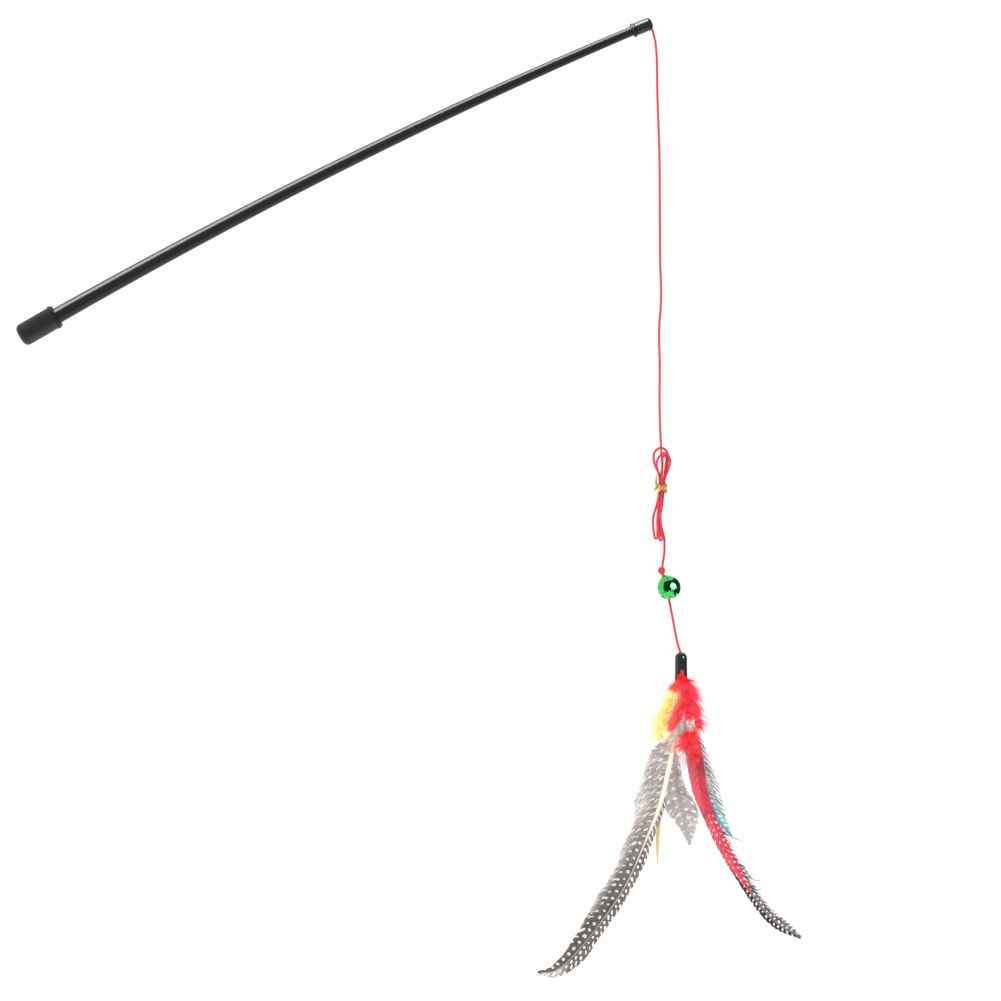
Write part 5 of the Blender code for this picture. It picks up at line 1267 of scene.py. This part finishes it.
# The lower plume: a wide tuft on the red feather's base, and a narrow one that runs down its shaft.
lower_tufts = plume_tufts(
    [(4.4, -4.8, -17.4), (4, -5.1, -20.8), (3.4, -5.2, -24.6)],
    [((-0.7, -0.2, -1), (-1, -0.2, -0.6), (5.2, 8.4, 8.4), 17, 0.15, 0.42),
     ((-0.4, -0.2, -1), (-0.7, -0.2, -0.8), (4.2, 6.4, 6.6), 16, 0.15, 0.46),
     ((-0.1, -0.4, -1), (-0.3, -0.3, -1), (4, 5, 5.2), 16, 0.16, 0.5),
     ((0.5, -0.2, -1), (0.5, -0.2, -1), (5.4, 5.2, 5.4), 18, 0.17, 0.56)], 12, 66)
lower_tufts += plume_tufts(
    [(4.6, -3.8, -24), (5.2, -3.2, -27.4), (5.9, -2.8, -30.4)],
    [((-0.35, -0.1, -1), (-0.1, 0, -1), (4.2, 4.2, 3.8), 11, 0.12, 0.48),
     ((0.1, -0.1, -1), (0.25, 0, -1), (4.4, 4.2, 3.8), 11, 0.12, 0.54)], 7, 69)
fluff("marabou_red_lower", "red_marabou_lower", "red_dye", lower_tufts, red_marabou, 164)

# Yellow marabou: a long plume that falls to the left from the back of the cap's mouth, with pale ends.
yellow_marabou = marabou_finish("marabou_yellow", [
    (0, (0.97, 0.88, 0.36)), (0.5, (0.96, 0.76, 0.16)), (1, (0.96, 0.7, 0.1))], (0.98, 0.94, 0.62), 0.75, painted_glow=0.5)
yellow_tufts = plume_tufts(
    [(-2.2, 2.8, -2.4), (-4.2, 4.2, -6), (-5.8, 4.8, -10), (-7.5, 5.2, -15), (-8.8, 5.2, -19), (-9.4, 5, -21.5)],
    [((-1, 0.1, -0.6), (-0.7, 0.1, -0.9), (3.6, 7.6, 5.6), 13, 0.15, 0.08),
     ((-0.8, -0.3, -0.9), (-0.4, -0.2, -1), (3.4, 6.2, 5.6), 14, 0.15, 0.25),
     ((-0.3, 0.1, -1), (-0.05, 0.1, -1), (3.6, 5.4, 5.8), 14, 0.15, 0.55),
     ((0.1, 0, -1), (0.3, 0, -1), (3.6, 5.4, 5.2), 14, 0.16, 0.75),
     ((0.5, -0.1, -1), (0.65, 0, -1), (3, 5, 5), 12, 0.16, 0.8)], 14, 67)
fluff("marabou_yellow_plume", "yellow_marabou", "yellow_dye", yellow_tufts, yellow_marabou, 165)

# Down at the left feather's base: short olive and beige threads on both sides of its quill, made as
# the plumes are. It belongs to that feather, and no solid of its own stands for it.
base_down = marabou_finish("down_beige", [
    (0, (0.78, 0.7, 0.42)), (0.5, (0.82, 0.7, 0.52)), (1, (0.92, 0.74, 0.54))], (0.95, 0.9, 0.8), 0.7, painted_glow=0.3)
base_tufts = plume_tufts(
    [(-2, -1.4, -18), (-3, -1.5, -22), (-4, -1.6, -26.5)],
    [((-0.9, 0.1, -1), (-1, 0, -0.35), (4.6, 6, 6.4), 9, 0.17, 0.25),
     ((-0.3, 0, -1), (-0.6, 0, -0.8), (3.6, 4.6, 4.6), 8, 0.14, 0.85)], 10, 68)
fluff("down_at_left_feather", None, "guinea_grey", base_tufts, base_down, 167, fuzz=20, fuzz_length=0.7)

# Downy grey feather in the middle: short, loose, whitish barbs with a pink cast. They part into
# wisps on both sides, and a fan of them stands out at the right.
down_finish = marabou_finish("down_grey", [
    (0, (0.48, 0.42, 0.4)), (0.5, (0.6, 0.54, 0.52)), (1, (0.8, 0.7, 0.7))], (0.92, 0.86, 0.85), 0.8)
down_tufts = []
down_dice = np.random.default_rng(9)
for index in range(28):
    share = index / 27
    sign = -1 if index % 2 else 1
    root = (0.8 - 0.9 * share + 0.3 * sign, -3.1 - 2.6 * (1 - share), -14.4 - 8.6 * share)
    way = (sign * down_dice.uniform(0.3, 1.3), -0.3, -down_dice.uniform(-0.35, 1.1))
    length, hue = 3.6 * down_dice.uniform(0.7, 1.2), down_dice.uniform(0.1, 1.0)
    down_tufts.append((root, way, length, 0.2, 9, hue, 0.05))
for index in range(12):
    turn = math.radians(50 - 11 * index)
    root = (2.2 + down_dice.normal(0, 0.3), -6.2, -17.2 + down_dice.normal(0, 0.3))
    way = (math.cos(turn), -0.25, math.sin(turn))
    down_tufts.append((root, way, 3.4 * down_dice.uniform(0.8, 1.3), 0.1, 4, 0.95, 0.0))
fluff("feather_down_grey", "grey_down_feather", "pale_grey", down_tufts, down_finish, 166, fuzz=22, fuzz_length=0.7)

# Studio: a pale floor below and an even white surround. What shines sees a dark room in front and on
# the right, white paper on the left and above, a soft box over the rod and two round lights.
bpy.ops.mesh.primitive_plane_add(size=8.0, location=(-3.34, 3.68, -0.42))
floor = bpy.context.object
floor.name = "studio_floor"
floor_finish = Finish("floor_pale", Roughness=0.8)
floor_finish.link(Base_Color=floor_finish.mix(floor_finish.noise(6, 2), (0.95, 0.95, 0.95), (0.98, 0.98, 0.98)))
floor.data.materials.append(floor_finish.material)

world = bpy.data.worlds.new("studio")
world.use_nodes = True
bpy.context.scene.world = world
sky = Nodes(world.node_tree)
background = world.node_tree.nodes["Background"]
shine = sky.add("LightPath", output="Is Glossy Ray")
view = sky.add("TexCoord", output="Generated")


def facing(way):
    """How far a ray looks a given way."""
    return sky.add("VectorMath", {"operation": "DOT_PRODUCT"}, {0: view, 1: way}, "Value")


ahead, rightward, leftward = facing((-0.3, 1.0, 1.0)), facing((1.0, 0.0, 0.0)), facing((-0.857, 0.515, 0.0))
rough_edge = sky.add("TexNoise", {}, {"Vector": view, "Scale": 3.0, "Detail": 2.0}) - 0.5
above = (ahead + rough_edge * 0.1).blend(0.68, 0.76) * rightward.blend(0.36, 0.46, 1.0, 0.0)
paper = (leftward + rough_edge * 0.1).blend(0.42, 0.5).math("MAXIMUM", above)
room = (1 - paper) * (0.955 - rough_edge.blend(-0.1, 0.3) * 0.05) * shine
strength = (1 - room) * 1.08
sky.tree.links.new(strength.socket, background.inputs["Strength"])
background.inputs["Color"].default_value = (1.0, 1.0, 1.0, 1.0)


def soft_light(name, place, target, size, radiance, pieces=(), long_way=(1, 0, 0)):
    """A round light or, with two sizes, an oblong one. Given pieces, it only puts a shine on them;
    without them it lights everything and isn't reflected."""
    place, target = Vector(place), Vector(target)
    lamp = bpy.data.lights.new(name, "AREA")
    if isinstance(size, tuple):
        lamp.shape = "RECTANGLE"
        lamp.size, lamp.size_y = size
        area = size[0] * size[1]
    else:
        lamp.shape = "DISK"
        lamp.size = size
        area = math.pi * size * size / 4
    lamp.energy = radiance * math.pi * area
    back = (place - target).normalized()
    side = (Vector(long_way) - back * back.dot(Vector(long_way))).normalized()
    turn = Matrix((side, back.cross(side), back)).transposed().to_4x4()
    light = in_scene(name, lamp)
    light.matrix_world = Matrix.Translation(place) @ turn
    light.visible_camera = False
    light.visible_diffuse, light.visible_glossy = not pieces, bool(pieces)
    if pieces:
        lit = bpy.data.collections.new("lit_by_" + name)
        for piece in pieces:
            lit.objects.link(piece)
        light.light_linking.receiver_collection = lit


soft_light("soft_above_left", (-0.5, -0.6, 1.1), (0.2, 0.0, -0.1), 0.7, 11.6)
soft_light("round_at_bell", (0.70, -0.50, 0.04), (0.245, 0.0, -0.14), 0.76, 12.0, (top_half, bottom_half, bail))
soft_light("round_at_lure_cap", (0.723, -0.472, 0.05), (0.249, 0.0, -0.155), 0.38, 26.0, (lure_cap,))
rod_way = rod_direction(100.0)
rod_over = Vector((-rod_way.z, 0.0, rod_way.x))
rod_middle = rod_point(100.0) * MM
soft_light("box_over_rod", rod_middle + rod_over * 0.335 - Vector((0.0, 0.10, 0.0)), rod_middle,
           (0.7, 0.31), 18, (rod, tip_cap, tip_ring), rod_way)
bpy.context.scene.view_settings.view_transform = "Standard"
